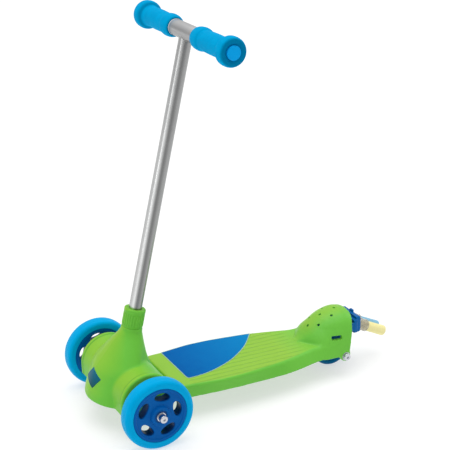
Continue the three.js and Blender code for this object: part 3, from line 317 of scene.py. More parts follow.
def foam(name, shades, end_shade):
    """Closed-cell grip foam with fine pores, and painted shade on its end faces."""
    finish = Finish(name)
    pores = finish.node("TexVoronoi", {"Vector": finish.place, "Scale": 1400.0}).outputs["Distance"]
    blotch = finish.noise(70, 4)
    ends = finish.ramp(finish.sums("ABSOLUTE", finish.facing((1, 0, 0))), 0.0, 0.75, 0.35, 0.95)
    return finish.shade(
        Base_Color=finish.mix(ends, finish.ramp(blotch, *shades, 0.3, 0.7), end_shade),
        Roughness=finish.ramp(pores, 0.55, 0.75, 0.0, 0.8),
        Normal=finish.bump(pores, 0.00005, 0.5, finish.bump(blotch, 0.0002, 0.3)),
        IOR=1.15, Specular_IOR_Level=0.2, Specular_Tint=(0.2, 0.8, 1, 1))


def metal(name, shades, rough, stretch=(1, 1, 1), grain=0.00001, turn=(0, 0, 0), painted_reflection=None):
    """Bright or satin metal with a drawn or turned grain, and soft bands of painted reflection
    along it.
    """
    finish = Finish(name)
    drawn = finish.node("Mapping", {"Vector": finish.place, "Scale": stretch, "Rotation": turn},
                        vector_type="TEXTURE")
    lines = finish.noise(900, 3, 0.6, drawn.outputs[0])
    tone = finish.drift(shades, 30, 4, 0.25, 0.75)
    if painted_reflection:
        way, greys = painted_reflection
        across = finish.ramp(finish.facing(way), 0.0, 1.0, -1.0, 1.0)
        bright = finish.stops(across, [(at, colour(grey, grey, grey)) for at, grey in greys])
        tone = finish.mix(1.0, tone, bright, "MULTIPLY")
    return finish.shade(
        Base_Color=tone, Roughness=finish.ramp(lines, rough - 0.05, rough + 0.06, 0.25, 0.75),
        Normal=finish.bump(lines, grain, 0.4), Metallic=1.0)


def chalk(name, shades):
    """Dry pressed chalk: pores, dusty patches and scuffs."""
    finish = Finish(name)
    pores, patch = finish.noise(1100, 4, 0.7), finish.noise(160, 5, 0.65)
    return finish.shade(
        Base_Color=finish.ramp(patch, *shades, 0.35, 0.65),
        Roughness=finish.ramp(pores, 0.85, 1.0),
        Normal=finish.bump(pores, 0.00015, 0.6, finish.bump(patch, 0.0003, 0.4)),
        Specular_IOR_Level=0.1)


def frosted(name, shades):
    """Clear, slightly smoked plastic with moulding haze."""
    finish = Finish(name)
    haze = finish.noise(220, 4)
    return finish.shade(
        Base_Color=finish.ramp(haze, *shades, 0.3, 0.7), Roughness=finish.ramp(haze, 0.08, 0.2),
        Normal=finish.bump(finish.noise(500), 0.00004, 0.4), Transmission_Weight=0.78, IOR=1.4)


def inlay_film(name, front_shade, rear_shade, haze_shade):
    """Printed film: blue fading from deep at the front to light at the rear, a little hazy."""
    finish = Finish(name)
    along = finish.ramp(finish.along("Y"), 0.0, 1.0, frame_y(INLAY_FRONT), frame_y(INLAY_REAR))
    haze = finish.noise(55, 4)
    return finish.shade(
        Base_Color=finish.mix(finish.ramp(haze, 0.0, 0.08, 0.3, 0.7),
                              finish.mix(along, front_shade, rear_shade), haze_shade),
        Roughness=finish.ramp(haze, 0.3, 0.42, 0.3, 0.7),
        Normal=finish.bump(finish.noise(1900), 0.00003, 0.5),
        IOR=1.12, Specular_IOR_Level=0.2, Specular_Tint=(0.3, 0.8, 1, 1))


def badge_enamel(name, low_shade, high_shade):
    """Badge face: dark teal below, lighter above, smooth with a faint mottle."""
    finish = Finish(name)
    above = finish.ramp(finish.along("Z"), 0.0, 1.0, 0.070, 0.100)
    return finish.shade(
        Base_Color=finish.mix(above, low_shade, high_shade),
        Roughness=finish.ramp(finish.noise(120, 3), 0.3, 0.4, 0.3, 0.7),
        Normal=finish.bump(finish.noise(1600), 0.00002, 0.4),
        Specular_IOR_Level=0.1, Specular_Tint=COOL)


MATERIALS = {
    "green_plastic": housing_moulding("moulded_green", colour(84, 160, 52)),
    "deck_green": deck_moulding("deck_green", colour(112, 172, 46)),
    "azure_tyre": cast_tyre("azure_urethane", pair((0, 162, 220), (0, 169, 226))),
    "blue_tyre": cast_tyre("blue_urethane", pair((0, 91, 138), (0, 98, 146))),
    "hub_plastic": hub_moulding("moulded_hub", pair((0, 87, 165), (0, 92, 171)),
                                colour(6, 52, 112)),
    "dark_blue_plastic": moulded("moulded_dark_blue", pair((0, 88, 158), (0, 96, 168)), 0.26, 0.3,
                                 COOL),
    "blue_badge": badge_enamel("badge_blue", colour(0, 76, 86), colour(4, 102, 132)),
    "pale_rim": moulded("pale_rim", pair((168, 204, 160), (178, 212, 170)), 0.35),
    # painted highlight: a pale, non-metal ring that stands for the glint on each chamfered end of
    # the bar's sleeve
    "pale_highlight_ring": moulded("pale_highlight_ring", pair((230, 229, 226), (240, 239, 236)), 0.3),
    "azure_plastic": moulded("plug_azure", pair((0, 156, 230), (0, 164, 236)), 0.35, 0.15, COOL),
    "azure_foam": foam("grip_foam", pair((0, 155, 210), (0, 164, 218)), colour(0, 104, 148)),
    "blue_film": inlay_film("inlay_film", colour(0, 90, 168), colour(6, 130, 192),
                            colour(40, 150, 210)),
    "satin_tube": metal("satin_stem", pair((242, 243, 243), (250, 251, 251)), 0.28,
                        (1, 1, 14), 0.000006, (-RAKE, 0, 0), STEM_PAINTED_REFLECTION),
    "satin_bar": metal("satin_bar", pair((242, 242, 243), (250, 250, 250)), 0.36,
                       (14, 1, 1), 0.000006, (0, 0, 0), BAR_PAINTED_REFLECTION),
    "bright_steel": metal("bright_steel", pair((196, 198, 204), (214, 216, 220)), 0.2),
    "aluminium_turned": metal("turned_aluminium", pair((180, 181, 184), (190, 191, 194)), 0.34),
    # painted shade: the bearings are dark blue all over, standing in for the shade round the axle
    # bolts
    "bearing_painted_shade": moulded("bearing_painted_shade", pair((12, 74, 140), (16, 82, 150)), 0.4, 0.2),
    "white_nylon": moulded("white_nylon", pair((222, 221, 214), (232, 231, 226)), 0.45),
    "clear_sleeve": frosted("clear_sleeve", pair((226, 222, 214), (244, 242, 236))),
    "yellow_chalk": chalk("yellow_chalk", pair((244, 234, 164), (250, 242, 178))),
    "blue_chalk": chalk("blue_chalk", pair((134, 186, 214), (146, 196, 222))),
}


# Making pieces

def piece(name, mesh, material, body, replaced=(), sharp=38):
    """A finished object: smooth but for its sharp edges, on a body, standing for CAD nodes."""
    mesh.name = name
    mesh.shade_smooth()
    mesh.set_sharp_from_angle(angle=math.radians(sharp))
    mesh.materials.clear()
    mesh.materials.append(MATERIALS[material])
    made = placed(name, mesh)
    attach(made, body)
    if replaced:
        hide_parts(*replaced)


def mesh_of(points, faces, place=Matrix.Identity(4)):
    """Closed outward mesh of points in millimetres, set in the frame."""
    mesh = bpy.data.meshes.new("mesh")
    mesh.from_pydata([tuple(point) for point in points], [], [tuple(face) for face in faces])
    mesh.transform(INTO_FRAME @ place)
    work = bmesh.new()
    work.from_mesh(mesh)
    bmesh.ops.remove_doubles(work, verts=work.verts, dist=1e-7)
    bmesh.ops.dissolve_degenerate(work, edges=work.edges, dist=1e-8)
    bmesh.ops.recalc_face_normals(work, faces=work.faces)
    work.to_mesh(mesh)
    work.free()
    return mesh


def merged(*meshes):
    """One mesh of several."""
    work = bmesh.new()
    for mesh in meshes:
        work.from_mesh(mesh)
    whole = bpy.data.meshes.new("merged")
    work.to_mesh(whole)
    work.free()
    return whole


def mirrored(side):
    """Closed profile of a side and its mirror image across the level 0."""
    return side + [(r, -x) for r, x in reversed(side)]


def baked(made, *helpers):
    """Mesh of an object after its modifiers, with the object and its helpers taken away."""
    mesh = bpy.data.meshes.new_from_object(
        made.evaluated_get(bpy.context.evaluated_depsgraph_get()))
    for thing in (made, *helpers):
        bpy.data.objects.remove(thing)
    return mesh


def arc(centre_a, centre_b, radius, start, end, steps=8):
    """Points along an arc between two angles in degrees."""
    angles = np.radians(np.linspace(start, end, steps + 1))
    return [(centre_a + radius * math.cos(a), centre_b + radius * math.sin(a)) for a in angles]


def softened(profile, radius, steps=4):
    """A closed profile with its corners off the axis rounded, as far as their sides allow."""
    nothing, nearly_straight = 1e-6, math.radians(82)
    rounded = []
    for k, corner in enumerate(profile):
        here = Vector(corner)
        before, after = (Vector(profile[n % len(profile)]) - here for n in (k - 1, k + 1))
        if (min(here.x, before.length, after.length) < nothing
                or before.angle(after) / 2 > nearly_straight):
            rounded.append(tuple(here))
            continue
        cut = min(radius / math.tan(before.angle(after) / 2), before.length * 0.45,
                  after.length * 0.45)
        first, last = here + before.normalized() * cut, here + after.normalized() * cut
        for share in (step / steps for step in range(steps + 1)):
            rounded.append(tuple(first.lerp(here, share).lerp(here.lerp(last, share), share)))
    return rounded


def turned(profile, place, steps=96, soft=0.0):
    """Revolves a closed profile of (radius, along) points about the Z axis of a place."""
    points = softened(profile, soft) if soft else [tuple(point) for point in profile]
    count = len(points)
    angles = np.linspace(0, 2 * math.pi, steps, endpoint=False)
    spots = [(r * math.cos(a), r * math.sin(a), z) for a in angles for r, z in points]
    faces = []
    for row in range(steps):
        ahead = (row + 1) % steps
        for k in range(count):
            nxt = (k + 1) % count
            if points[k][0] < 1e-6 and points[nxt][0] < 1e-6:
                continue
            faces.append((row * count + k, row * count + nxt, ahead * count + nxt,
                          ahead * count + k))
    return mesh_of(spots, faces, place)


def lofted(rings, place=Matrix.Identity(4), closed=False):
    """Mesh through rings of as many points each, capped at its ends or closed on itself."""
    count, rows = len(rings[0]), len(rings)
    points = [point for ring in rings for point in ring]
    faces = []
    for row in range(rows if closed else rows - 1):
        here, ahead = row * count, (row + 1) % rows * count
        faces += [(here + k, here + (k + 1) % count, ahead + (k + 1) % count, ahead + k)
                  for k in range(count)]
    if not closed:
        faces += [tuple(range(count)), tuple(range(len(points) - count, len(points)))]
    return mesh_of(points, faces, place)


def table(names, rows):
    return [dict(zip(names, row)) for row in rows]


def eased(share):
    """A share held between 0 and 1, with a soft start and end."""
    share = np.clip(share, 0, 1)
    return share * share * (3 - 2 * share)


def smooth_table(rows, key, at):
    """Values of a table of shares on a smooth curve that keeps between its rows."""
    x = np.array([row["along"] for row in rows])
    y = np.array([row[key] for row in rows])
    steps = np.diff(x)
    slopes = np.diff(y) / steps
    inner = np.where(slopes[:-1] * slopes[1:] > 0,
                     2 * slopes[:-1] * slopes[1:] / (slopes[:-1] + slopes[1:] + 1e-12), 0)
    grads = np.concatenate([[slopes[0]], inner, [slopes[-1]]])
    at = np.clip(at, x[0], x[-1])
    k = np.clip(np.searchsorted(x, at) - 1, 0, len(x) - 2)
    t = (at - x[k]) / steps[k]
    return ((1 + 2 * t) * (1 - t) ** 2 * y[k] + t * (1 - t) ** 2 * steps[k] * grads[k]
            + t * t * (3 - 2 * t) * y[k + 1] + t * t * (t - 1) * steps[k] * grads[k + 1])


# Moulded skins: a field that is zero on the surface, negative inside, meshed on a fine grid

def blended(first, second, reach):
    """Union of two fields with a fillet of about that reach."""
    gap = np.clip(reach - np.abs(first - second), 0, None) / reach
    return np.minimum(first, second) - gap ** 2 * reach / 4


def cut_away(body, tool, reach=0.0):
    """Body without the tool, its new edge broken over that reach."""
    if reach:
        return -blended(-body, tool, reach)
    return np.maximum(body, -tool)


def even(field, cell):
    """A field rescaled to count millimetres near its surface."""
    slopes = np.gradient(field, cell)
    return field / np.maximum(np.sqrt(sum(slope ** 2 for slope in slopes)), 1e-3)


def grid_over(low, high, cell):
    axes = [np.arange(a, b + cell, cell) for a, b in zip(low, high)]
    return np.meshgrid(*axes, indexing="ij")


def skin(field, low, cell):
    """Closed mesh of quads over the zero surface of a field (surface nets)."""
    inside = field < 0
    shape = np.array(field.shape)
    crossings = np.zeros(tuple(shape - 1) + (3,))
    counts = np.zeros(tuple(shape - 1))
    corner = [slice(0, -1), slice(1, None)]
    for axis in range(3):
        others = [n for n in range(3) if n != axis]
        for i in (0, 1):
            for j in (0, 1):
                here = [None] * 3
                here[others[0]], here[others[1]] = corner[i], corner[j]
                start, end = list(here), list(here)
                start[axis], end[axis] = corner[0], corner[1]
                a, b = field[tuple(start)], field[tuple(end)]
                crossed = (a < 0) != (b < 0)
                share = np.where(crossed, a / np.where(crossed, a - b, 1), 0)
                counts += crossed
                crossings[..., axis] += share
                crossings[..., others[0]] += crossed * i
                crossings[..., others[1]] += crossed * j
    active = counts > 0
    number = np.full(active.shape, -1)
    number[active] = np.arange(active.sum())
    cells = np.argwhere(active)
    points = (cells + crossings[active] / counts[active][:, None]) * cell + np.array(low)
    faces = []
    for axis in range(3):
        u, v = (axis + 1) % 3, (axis + 2) % 3
        start, end = [slice(None)] * 3, [slice(None)] * 3
        start[axis], end[axis] = slice(0, -1), slice(1, None)
        a, b = inside[tuple(start)], inside[tuple(end)]
        spots = np.argwhere(a != b)
        spots = spots[(spots[:, u] > 0) & (spots[:, v] > 0)
                      & (spots[:, u] < shape[u] - 1) & (spots[:, v] < shape[v] - 1)]
        corners = []
        for du, dv in ((1, 1), (0, 1), (0, 0), (1, 0)):
            spot = spots.copy()
            spot[:, u] -= du
            spot[:, v] -= dv
            corners.append(number[tuple(spot.T)])
        quads = np.stack(corners, 1)
        outward = a[tuple(spots.T)]
        quads[~outward] = quads[~outward][:, ::-1]
        faces.append(quads)
    return points, np.concatenate(faces)


def edges_of(faces):
    return np.concatenate([faces[:, [k, (k + 1) % 4]] for k in range(4)])


def relaxed(points, faces, rounds):
    """Points drawn a little towards their neighbours and back, which evens the skin."""
    edges = edges_of(faces)
    count = np.bincount(edges.ravel(), minlength=len(points))[:, None]
    for push in [0.5, -0.52] * rounds:
        total = np.zeros_like(points)
        for axis in range(3):
            total[:, axis] = (np.bincount(edges[:, 0], points[edges[:, 1], axis], len(points))
                              + np.bincount(edges[:, 1], points[edges[:, 0], axis], len(points)))
        points = points + push * (total / count - points)
    return points


def pinched(points, faces, field, low, cell):
    """Fills the field a little where more than two faces meet at an edge; True if it had to."""
    pairs, uses = np.unique(np.sort(edges_of(faces), 1), axis=0, return_counts=True)
    bad = np.unique(pairs[uses != 2])
    if not len(bad):
        return False
    spots = np.floor((points[bad] - np.array(low)) / cell).astype(int)
    for shift in np.ndindex(2, 2, 2):
        at = tuple((spots + np.array(shift)).T)
        field[at] = np.minimum(field[at], -0.12 * cell)
    return True


def moulding(field, low, cell, rounds=3):
    """Closed mesh of a field, each of its edges shared by just two faces."""
    points, faces = skin(field, low, cell)
    for _ in range(8):
        if not pinched(points, faces, field, low, cell):
            break
        points, faces = skin(field, low, cell)
    return mesh_of(relaxed(points, faces, rounds), faces.tolist())


def cut_by(mesh, *tools):
    """Boolean difference of a mesh and its tools, all in the frame's place."""
    body, tool = placed("body", mesh), placed("tool", merged(*tools))
    modifier = body.modifiers.new("cut", "BOOLEAN")
    modifier.operation, modifier.object, modifier.solver = "DIFFERENCE", tool, "MANIFOLD"
    return baked(body, tool)


# Bar, stem and grips

GRIP_INNER, GRIP_OUTER = 43, 166.4
GRIP_BORE, GRIP_RECESS, CAP_RADIUS = 12, 16, 12
GRIP_RADII = [(0, 15.5), (0.012, 16.9), (0.032, 18), (0.073, 19.2), (0.138, 19.8), (0.186, 19.3),
              (0.235, 17.0), (0.35, 17.7), (0.5, 18), (0.67, 17.6), (0.76, 17.1), (0.8, 18.2),
              (0.835, 22.6), (0.87, 24.5), (0.91, 24.7), (0.955, 24.3), (0.985, 22.9), (1, 20.6)]


def grip_profile():
    rows = table(("along", "radius"), GRIP_RADII)
    at = np.linspace(0, 1, 110)
    length = GRIP_OUTER - GRIP_INNER
    outline = [(r, GRIP_INNER + share * length)
               for share, r in zip(at, smooth_table(rows, "radius", at))]
    face = [(GRIP_RECESS + 1.2, GRIP_OUTER), (GRIP_RECESS, GRIP_OUTER - 0.5),
            (CAP_RADIUS + 0.6, GRIP_OUTER - 2), (CAP_RADIUS + 0.3, GRIP_OUTER - 3.9)]
    return [(GRIP_BORE, GRIP_INNER + 0.4)] + outline + face + [(GRIP_BORE, GRIP_OUTER - 3.9)]


def cap_profile():
    face = GRIP_OUTER + 1.4
    return [(0, face - 19), (8.9, face - 19), (9.8, face - 18), (9.8, face - 5),
            (CAP_RADIUS, face - 5), *arc(CAP_RADIUS - 1.1, face - 1.1, 1.1, 0, 90), (0, face)]


def weld_bead(place, tube, saddle, radius):
    """Fused bead where an upright tube meets a level one, with the ripples of the run."""
    rings = []
    for angle in np.linspace(0, 2 * math.pi, 180, endpoint=False):
        swell = radius * (1 + 0.06 * math.sin(angle * 45))
        x, y = tube * math.cos(angle), tube * math.sin(angle)
        centre = Vector((x, y, -math.sqrt(saddle ** 2 - y ** 2)))
        out, down = Vector((x, y, 0)).normalized(), Vector((0, 0, -1))
        rings.append([centre + swell * (out * math.cos(turn) + down * math.sin(turn))
                      for turn in np.linspace(0, 2 * math.pi, 10, endpoint=False)])
    return lofted(rings, place, closed=True)


STEM_RADIUS, STEM_BORE, STEM_FOOT = 11.5, 9.9, 26.3
SLEEVE_RADIUS, SLEEVE_HALF, BAR_RADIUS, BAR_HALF, BAR_BORE = 14, 42, 11.7, 158, 10.1
RIM_BORE, RIM_CROWN = 11.8, SLEEVE_RADIUS + 0.15
crossbar = mirrored([(SLEEVE_RADIUS, SLEEVE_HALF - 0.8), (SLEEVE_RADIUS - 1.2, SLEEVE_HALF),
                     (BAR_RADIUS, SLEEVE_HALF), (BAR_RADIUS, BAR_HALF), (BAR_BORE, BAR_HALF)])
piece("crossbar_tube", turned(crossbar, BAR @ ALONG_X, 96, 0.4), "satin_bar", "front",
      ["crossbar"])
stem = turned([(STEM_BORE, STEM_FOOT), (STEM_RADIUS, STEM_FOOT), (STEM_RADIUS, BAR_RISE),
               (STEM_BORE, BAR_RISE)], STEERED, 96, 0.3)
saddle = turned([(0, -60), (SLEEVE_RADIUS + 0.1, -60), (SLEEVE_RADIUS + 0.1, 60), (0, 60)],
                BAR @ ALONG_X, 96)
piece("stem", cut_by(stem, saddle), "satin_tube", "front", ["stem_tube"])
piece("stem_weld", weld_bead(BAR, STEM_RADIUS, SLEEVE_RADIUS, 0.9), "satin_bar", "front")
# pale rings at the sleeve's ends, a painted highlight on their chamfers
rim = [(RIM_BORE, SLEEVE_HALF - 1.6), (RIM_CROWN, SLEEVE_HALF - 1.6), (RIM_CROWN, SLEEVE_HALF),
       (SLEEVE_RADIUS - 0.8, SLEEVE_HALF + 0.8), (RIM_BORE, SLEEVE_HALF + 0.8)]
for side, sign in SIDES.items():
    end = BAR @ side_turn(sign) @ ALONG_X
    piece(f"bar_rim_{side}", turned(rim, end, 96), "pale_highlight_ring", "front")
    piece(f"foam_grip_{side}", turned(grip_profile(), end, 96), "azure_foam", "front",
          [f"grip_{side}"])
    piece(f"grip_cap_{side}", turned(cap_profile(), end, 72), "azure_plastic", "front",
          [f"grip_end_plug_{side}"])


# Wheels

PIN_BORE, SPACER_RADIUS, WASHER_RADIUS, HEAD_RADIUS = 4.3, 6.4, 8.2, 6.8
BEARING_HALF, BEARING_SINK = 3.5, 0.5


def tyre_profile(radius, width, rim):
    """Tyre with round shoulders and a slight crown, keyed into the hub's groove."""
    half, shoulder, crown = width / 2, 7, 0.6
    bore, key = rim + 0.3, 2.2
    edge = radius - crown - shoulder
    run = half - shoulder
    side = [(bore, key + 0.8), (bore, half - 0.9), (bore + 0.9, half),
            *arc(edge, run, shoulder, 90, 0, 14),
            *[(radius - crown * (1 - t) ** 2, run * (1 - t)) for t in (0.2, 0.4, 0.6, 0.8)]]
    return ([(bore - 1.6, -key), (bore - 1.6, key)] + side + [(radius, 0)]
            + [(r, -x) for r, x in reversed(side)])


def hub_profile(rim, rim_depth, width, web, hub, hub_width):
    """Grooved rim, web and boss, with a seat for a bearing at either face."""
    seat, step, lip = 11, 2, 1.5
    shoulder = hub_width / 2 - BEARING_SINK - 2 * BEARING_HALF - 0.3
    side = [(seat - step, shoulder), (seat, shoulder), (seat, hub_width / 2),
            (hub, hub_width / 2), (hub + 1.6, web / 2), (rim - rim_depth - lip, web / 2),
            (rim - rim_depth, width / 2 - lip / 2), (rim, width / 2 - lip / 2), (rim, 3.3),
            (rim - 1.6, 2.5)]
    return mirrored(side)


def bearing_profile():
    """Closed ring with a sunken seal at its outer face."""
    half, rim, sunk = BEARING_HALF, 10.7, 0.5
    return [(PIN_BORE, half), (6.2, half), (6.5, half - sunk), (8.9, half - sunk), (9.2, half),
            (rim, half), (rim, -half), (PIN_BORE, -half)]


def bolt_mesh(place, start, end, head):
    """Round-headed bolt along Z of a place, with a hexagon socket."""
    crown, shank, edge, socket, deep = end + head, 4, 1.6, 2.9, 2.2
    whole = turned([(0, start), (shank - 0.7, start), (shank, start + 0.7), (shank, end),
                    (HEAD_RADIUS, end), *arc(HEAD_RADIUS - edge, crown - edge, edge, 0, 90),
                    (0, crown)], place, 64)
    return cut_by(whole, turned([(0, crown - deep), (socket, crown - deep), (socket, crown + 2),
                                 (0, crown + 2)], place, 6))


def band(place, outer, start, end):
    """Plain ring round a pin."""
    return turned([(PIN_BORE, start), (outer, start), (outer, end), (PIN_BORE, end)], place, 64,
                  0.35)


def bent_oval(place, middle, radius, length, width, face, lip, depth):
    """Cutter of an oval opening bent round a hub, flaring round its lips at both faces."""
    over = 0.35
    levels = [(face - lip + (lip + over) * math.sin(t), lip * (1 - math.cos(t)))
              for t in np.linspace(0, math.pi / 2, 7)] + [(depth, lip)]
    levels = [(-z, grow) for z, grow in reversed(levels)] + levels

    def spot(turn, grow, z):
        reach = radius + (width / 2 + grow) * math.sin(turn)
        angle = middle + (length / 2 + grow) * math.cos(turn) / radius
        return (reach * math.cos(angle), reach * math.sin(angle), z)
    turns = np.linspace(0, 2 * math.pi, 56, endpoint=False)
    return lofted([[spot(turn, grow, z) for turn in turns] for z, grow in levels], place)


def add(tree, kind, links=None, **settings):
    """Node of a tree, its inputs linked or set."""
    node = tree.nodes.new(kind)
    for key, value in settings.items():
        setattr(node, key, value)
    for key, value in (links or {}).items():
        if isinstance(value, bpy.types.NodeSocket):
            tree.links.new(value, node.inputs[key])
        else:
            node.inputs[key].default_value = value
    return node


def around_axis(name, join):
    """Tree that repeats a pattern object evenly round an axis, and joins it or cuts it away."""
    tree = bpy.data.node_groups.new(name, "GeometryNodeTree")
    tree.interface.new_socket("Geometry", in_out="OUTPUT", socket_type="NodeSocketGeometry")
    for label, kind in {"Geometry": "Geometry", "Pattern": "Object", "Count": "Int",
                        "Middle": "Vector", "Axis": "Vector", "Finish": "Material"}.items():
        tree.interface.new_socket(label, in_out="INPUT", socket_type="NodeSocket" + kind)
    given = add(tree, "NodeGroupInput").outputs
    dots = add(tree, "GeometryNodePoints", {"Count": given["Count"], "Position": given["Middle"]})
    index = add(tree, "GeometryNodeInputIndex").outputs[0]
    share = add(tree, "ShaderNodeMath", {0: index, 1: given["Count"]}, operation="DIVIDE")
    angle = add(tree, "ShaderNodeMath", {0: share.outputs[0], 1: 2 * math.pi},
                operation="MULTIPLY")
    turn = add(tree, "FunctionNodeAxisAngleToRotation",
               {"Axis": given["Axis"], "Angle": angle.outputs[0]})
    pattern = add(tree, "GeometryNodeObjectInfo", {"Object": given["Pattern"]})
    copies = add(tree, "GeometryNodeInstanceOnPoints", {
        "Points": dots.outputs[0], "Instance": pattern.outputs["Geometry"],
        "Rotation": turn.outputs[0]})
    real = add(tree, "GeometryNodeRealizeInstances", {0: copies.outputs[0]}).outputs[0]
    if join:
        whole = add(tree, "GeometryNodeJoinGeometry", {0: real})
        tree.links.new(given["Geometry"], whole.inputs[0])
    else:
        whole = add(tree, "GeometryNodeMeshBoolean",
                    {"Mesh 2": real, "Mesh 1": given["Geometry"]}, operation="DIFFERENCE",
                    solver="MANIFOLD")
    last = add(tree, "GeometryNodeSetMaterial",
               {"Geometry": whole.outputs[0], "Material": given["Finish"]})
    add(tree, "NodeGroupOutput", {0: last.outputs[0]})
    return tree


CUT_ROUND = around_axis("openings_round_a_hub", join=False)
ADD_ROUND = around_axis("ribs_round_a_collar", join=True)


def repeated(base, pattern, tree, count, middle, axis, material):
    """Base mesh with the pattern mesh repeated round an axis, its pattern drawn about that axis
    in the frame's directions and metres."""
    carrier, single = placed("carrier", base), placed("single", pattern)
    modifier = carrier.modifiers.new("round", "NODES")
    modifier.node_group = tree
    values = {"Pattern": single, "Count": count, "Middle": middle, "Axis": axis,
              "Finish": MATERIALS[material]}
    for item in tree.interface.items_tree:
        if item.in_out == "INPUT" and item.name in values:
            modifier[item.identifier] = values[item.name]
    return baked(carrier, single)


def add_bearings(names, place, hub_width, body):
    """A bearing at either face of a hub, its seal outwards."""
    middle = hub_width / 2 - BEARING_SINK - BEARING_HALF
    flip = Matrix.Rotation(math.pi, 4, "X")
    for name, local in zip(names, (place @ Matrix.Translation((0, 0, middle)),
                                   place @ Matrix.Translation((0, 0, -middle)) @ flip)):
        # the bearings take a dark blue that is painted shade round the axle
        piece(name.replace("bearing", "race"), turned(bearing_profile(), local, 72, 0.25),
              "bearing_painted_shade", body, [name])


TYRE_RADIUS, TYRE_WIDTH, RIM_RADIUS, WEB, HUB_WIDTH = 63.5, 27, 49, 22, 33
REAR_RADIUS, REAR_WIDTH, REAR_RIM, REAR_HUB_WIDTH = 40, 24, 29, 19
OPENINGS, PHASE = 5, math.radians(9)
tyre = tyre_profile(TYRE_RADIUS, TYRE_WIDTH, RIM_RADIUS)
hub = hub_profile(RIM_RADIUS, 4.5, TYRE_WIDTH, WEB, 17, HUB_WIDTH)
for side, sign in SIDES.items():
    wheel = Matrix.Translation((sign * TRACK_HALF, 0, FRONT_AXLE_Z)) @ side_turn(sign) @ ALONG_X
    body = f"front_{side}_wheel"
    piece(f"urethane_tyre_{side}", turned(tyre, wheel, 160), "azure_tyre", body,
          [f"front_tyre_{side}"])
    # the opening is drawn about the axle, its middle at the phase counted from level to up
    local = (AT_FRAME_ORIGIN @ side_turn(sign) @ Matrix.Rotation(math.pi / 2, 4, "Z")
             @ Matrix.Rotation(math.pi / 2, 4, "X"))
    cutter = bent_oval(local, PHASE, radius=33.2, length=27.5, width=14.2, face=WEB / 2, lip=2.8,
                       depth=15)
    cut_hub = repeated(turned(hub, wheel, 144, 0.9), cutter, CUT_ROUND, OPENINGS,
                       (INTO_FRAME @ wheel).translation, (1, 0, 0), "hub_plastic")
    piece(f"spoked_hub_{side}", cut_hub, "hub_plastic", body,
          [f"front_hub_{side}"])
    add_bearings([f"front_bearing_outer_{side}", f"front_bearing_inner_{side}"], wheel,
                 HUB_WIDTH, body)
    for part, outer, start, end, finish in (
            ("bearing_spacer", SPACER_RADIUS, -8.7, 8.7, "aluminium_turned"),
            ("axle_washer", WASHER_RADIUS, 16.3, 17.7, "bright_steel"),
            ("axle_sleeve", SPACER_RADIUS, 113.3 - TRACK_HALF, -16.3, "aluminium_turned")):
        piece(f"{part}_{side}", band(wheel, outer, start, end), finish, "front",
              [f"front_{part}_{side}"])
    piece(f"stub_axle_{side}", bolt_mesh(wheel, 43.3 - TRACK_HALF, 18.0, 10.6), "bright_steel",
          "front", [f"front_axle_bolt_{side}"])

rear = REAR @ ALONG_X
piece("rear_urethane", turned(tyre_profile(REAR_RADIUS, REAR_WIDTH, REAR_RIM), rear, 128),
      "blue_tyre", "rear_wheel", ["rear_tyre"])
rear_core = hub_profile(REAR_RIM, 4, REAR_WIDTH, 14, 15, REAR_HUB_WIDTH)
piece("rear_core", turned(rear_core, rear, 112, 0.8), "dark_blue_plastic", "rear_wheel",
      ["rear_hub"])
add_bearings(["rear_bearing_left", "rear_bearing_right"], rear, REAR_HUB_WIDTH, "rear_wheel")
piece("rear_spacer", band(rear, SPACER_RADIUS, -1.7, 1.7), "aluminium_turned", "chassis",
      ["rear_bearing_spacer"])
for side, sign in SIDES.items():
    place = REAR @ side_turn(sign) @ ALONG_X
    for part, outer, start, end, finish in (
            ("inner_sleeve", SPACER_RADIUS, 9.3, 27.2, "aluminium_turned"),
            ("outer_sleeve", SPACER_RADIUS, 31.4, 45.7, "aluminium_turned"),
            ("axle_washer", WASHER_RADIUS, 58.8, 60.2, "bright_steel")):
        piece(f"fender_{part}_{side}", band(place, outer, start, end), finish, "chassis",
              [f"rear_{part}_{side}"])
piece("through_axle", bolt_mesh(rear, -68.5, 60.5, 4.6), "bright_steel", "chassis",
      ["rear_axle_bolt"])


# Steering housing

NECK_TOP, NECK_LENGTH, SLEEVE_TOP = 105.0, 139.0, 133.5
NECK_RADIUS, NOSE_REACH, SKIRT_REACH, SIDE_REACH, BELL_REACH = 18.8, 61, 72, 60, 74
# Shares of the way from the neck's radius to each full reach, down the steering axis
NECK = table(("along", "front", "rear", "side", "bell"), [
    (0, 0, 0, 0, 0), (0.041, 0.01, 0.008, 0.01, 0.014), (0.1, 0.087, 0.055, 0.078, 0.09),
    (0.159, 0.192, 0.107, 0.163, 0.21), (0.225, 0.309, 0.173, 0.26, 0.35),
    (0.306, 0.45, 0.258, 0.381, 0.53), (0.395, 0.6, 0.38, 0.539, 0.72),
    (0.483, 0.75, 0.549, 0.684, 0.88), (0.565, 0.86, 0.756, 0.806, 0.94),
    (0.63, 0.9, 0.91, 0.87, 0.965), (0.697, 0.932, 0.994, 0.927, 0.98),
    (0.793, 0.965, 1, 0.976, 1), (0.875, 1, 1, 1, 1), (0.934, 0.995, 1, 1, 1),
    (0.967, 0.955, 1, 1, 0.99), (1, 0.87, 1, 1, 0.96),
])


def within(place, x, y, z):
    """Coordinates in the directions of a place."""
    m = np.array(place.inverted())
    return tuple(m[k][0] * x + m[k][1] * y + m[k][2] * z + m[k][3] for k in range(3))


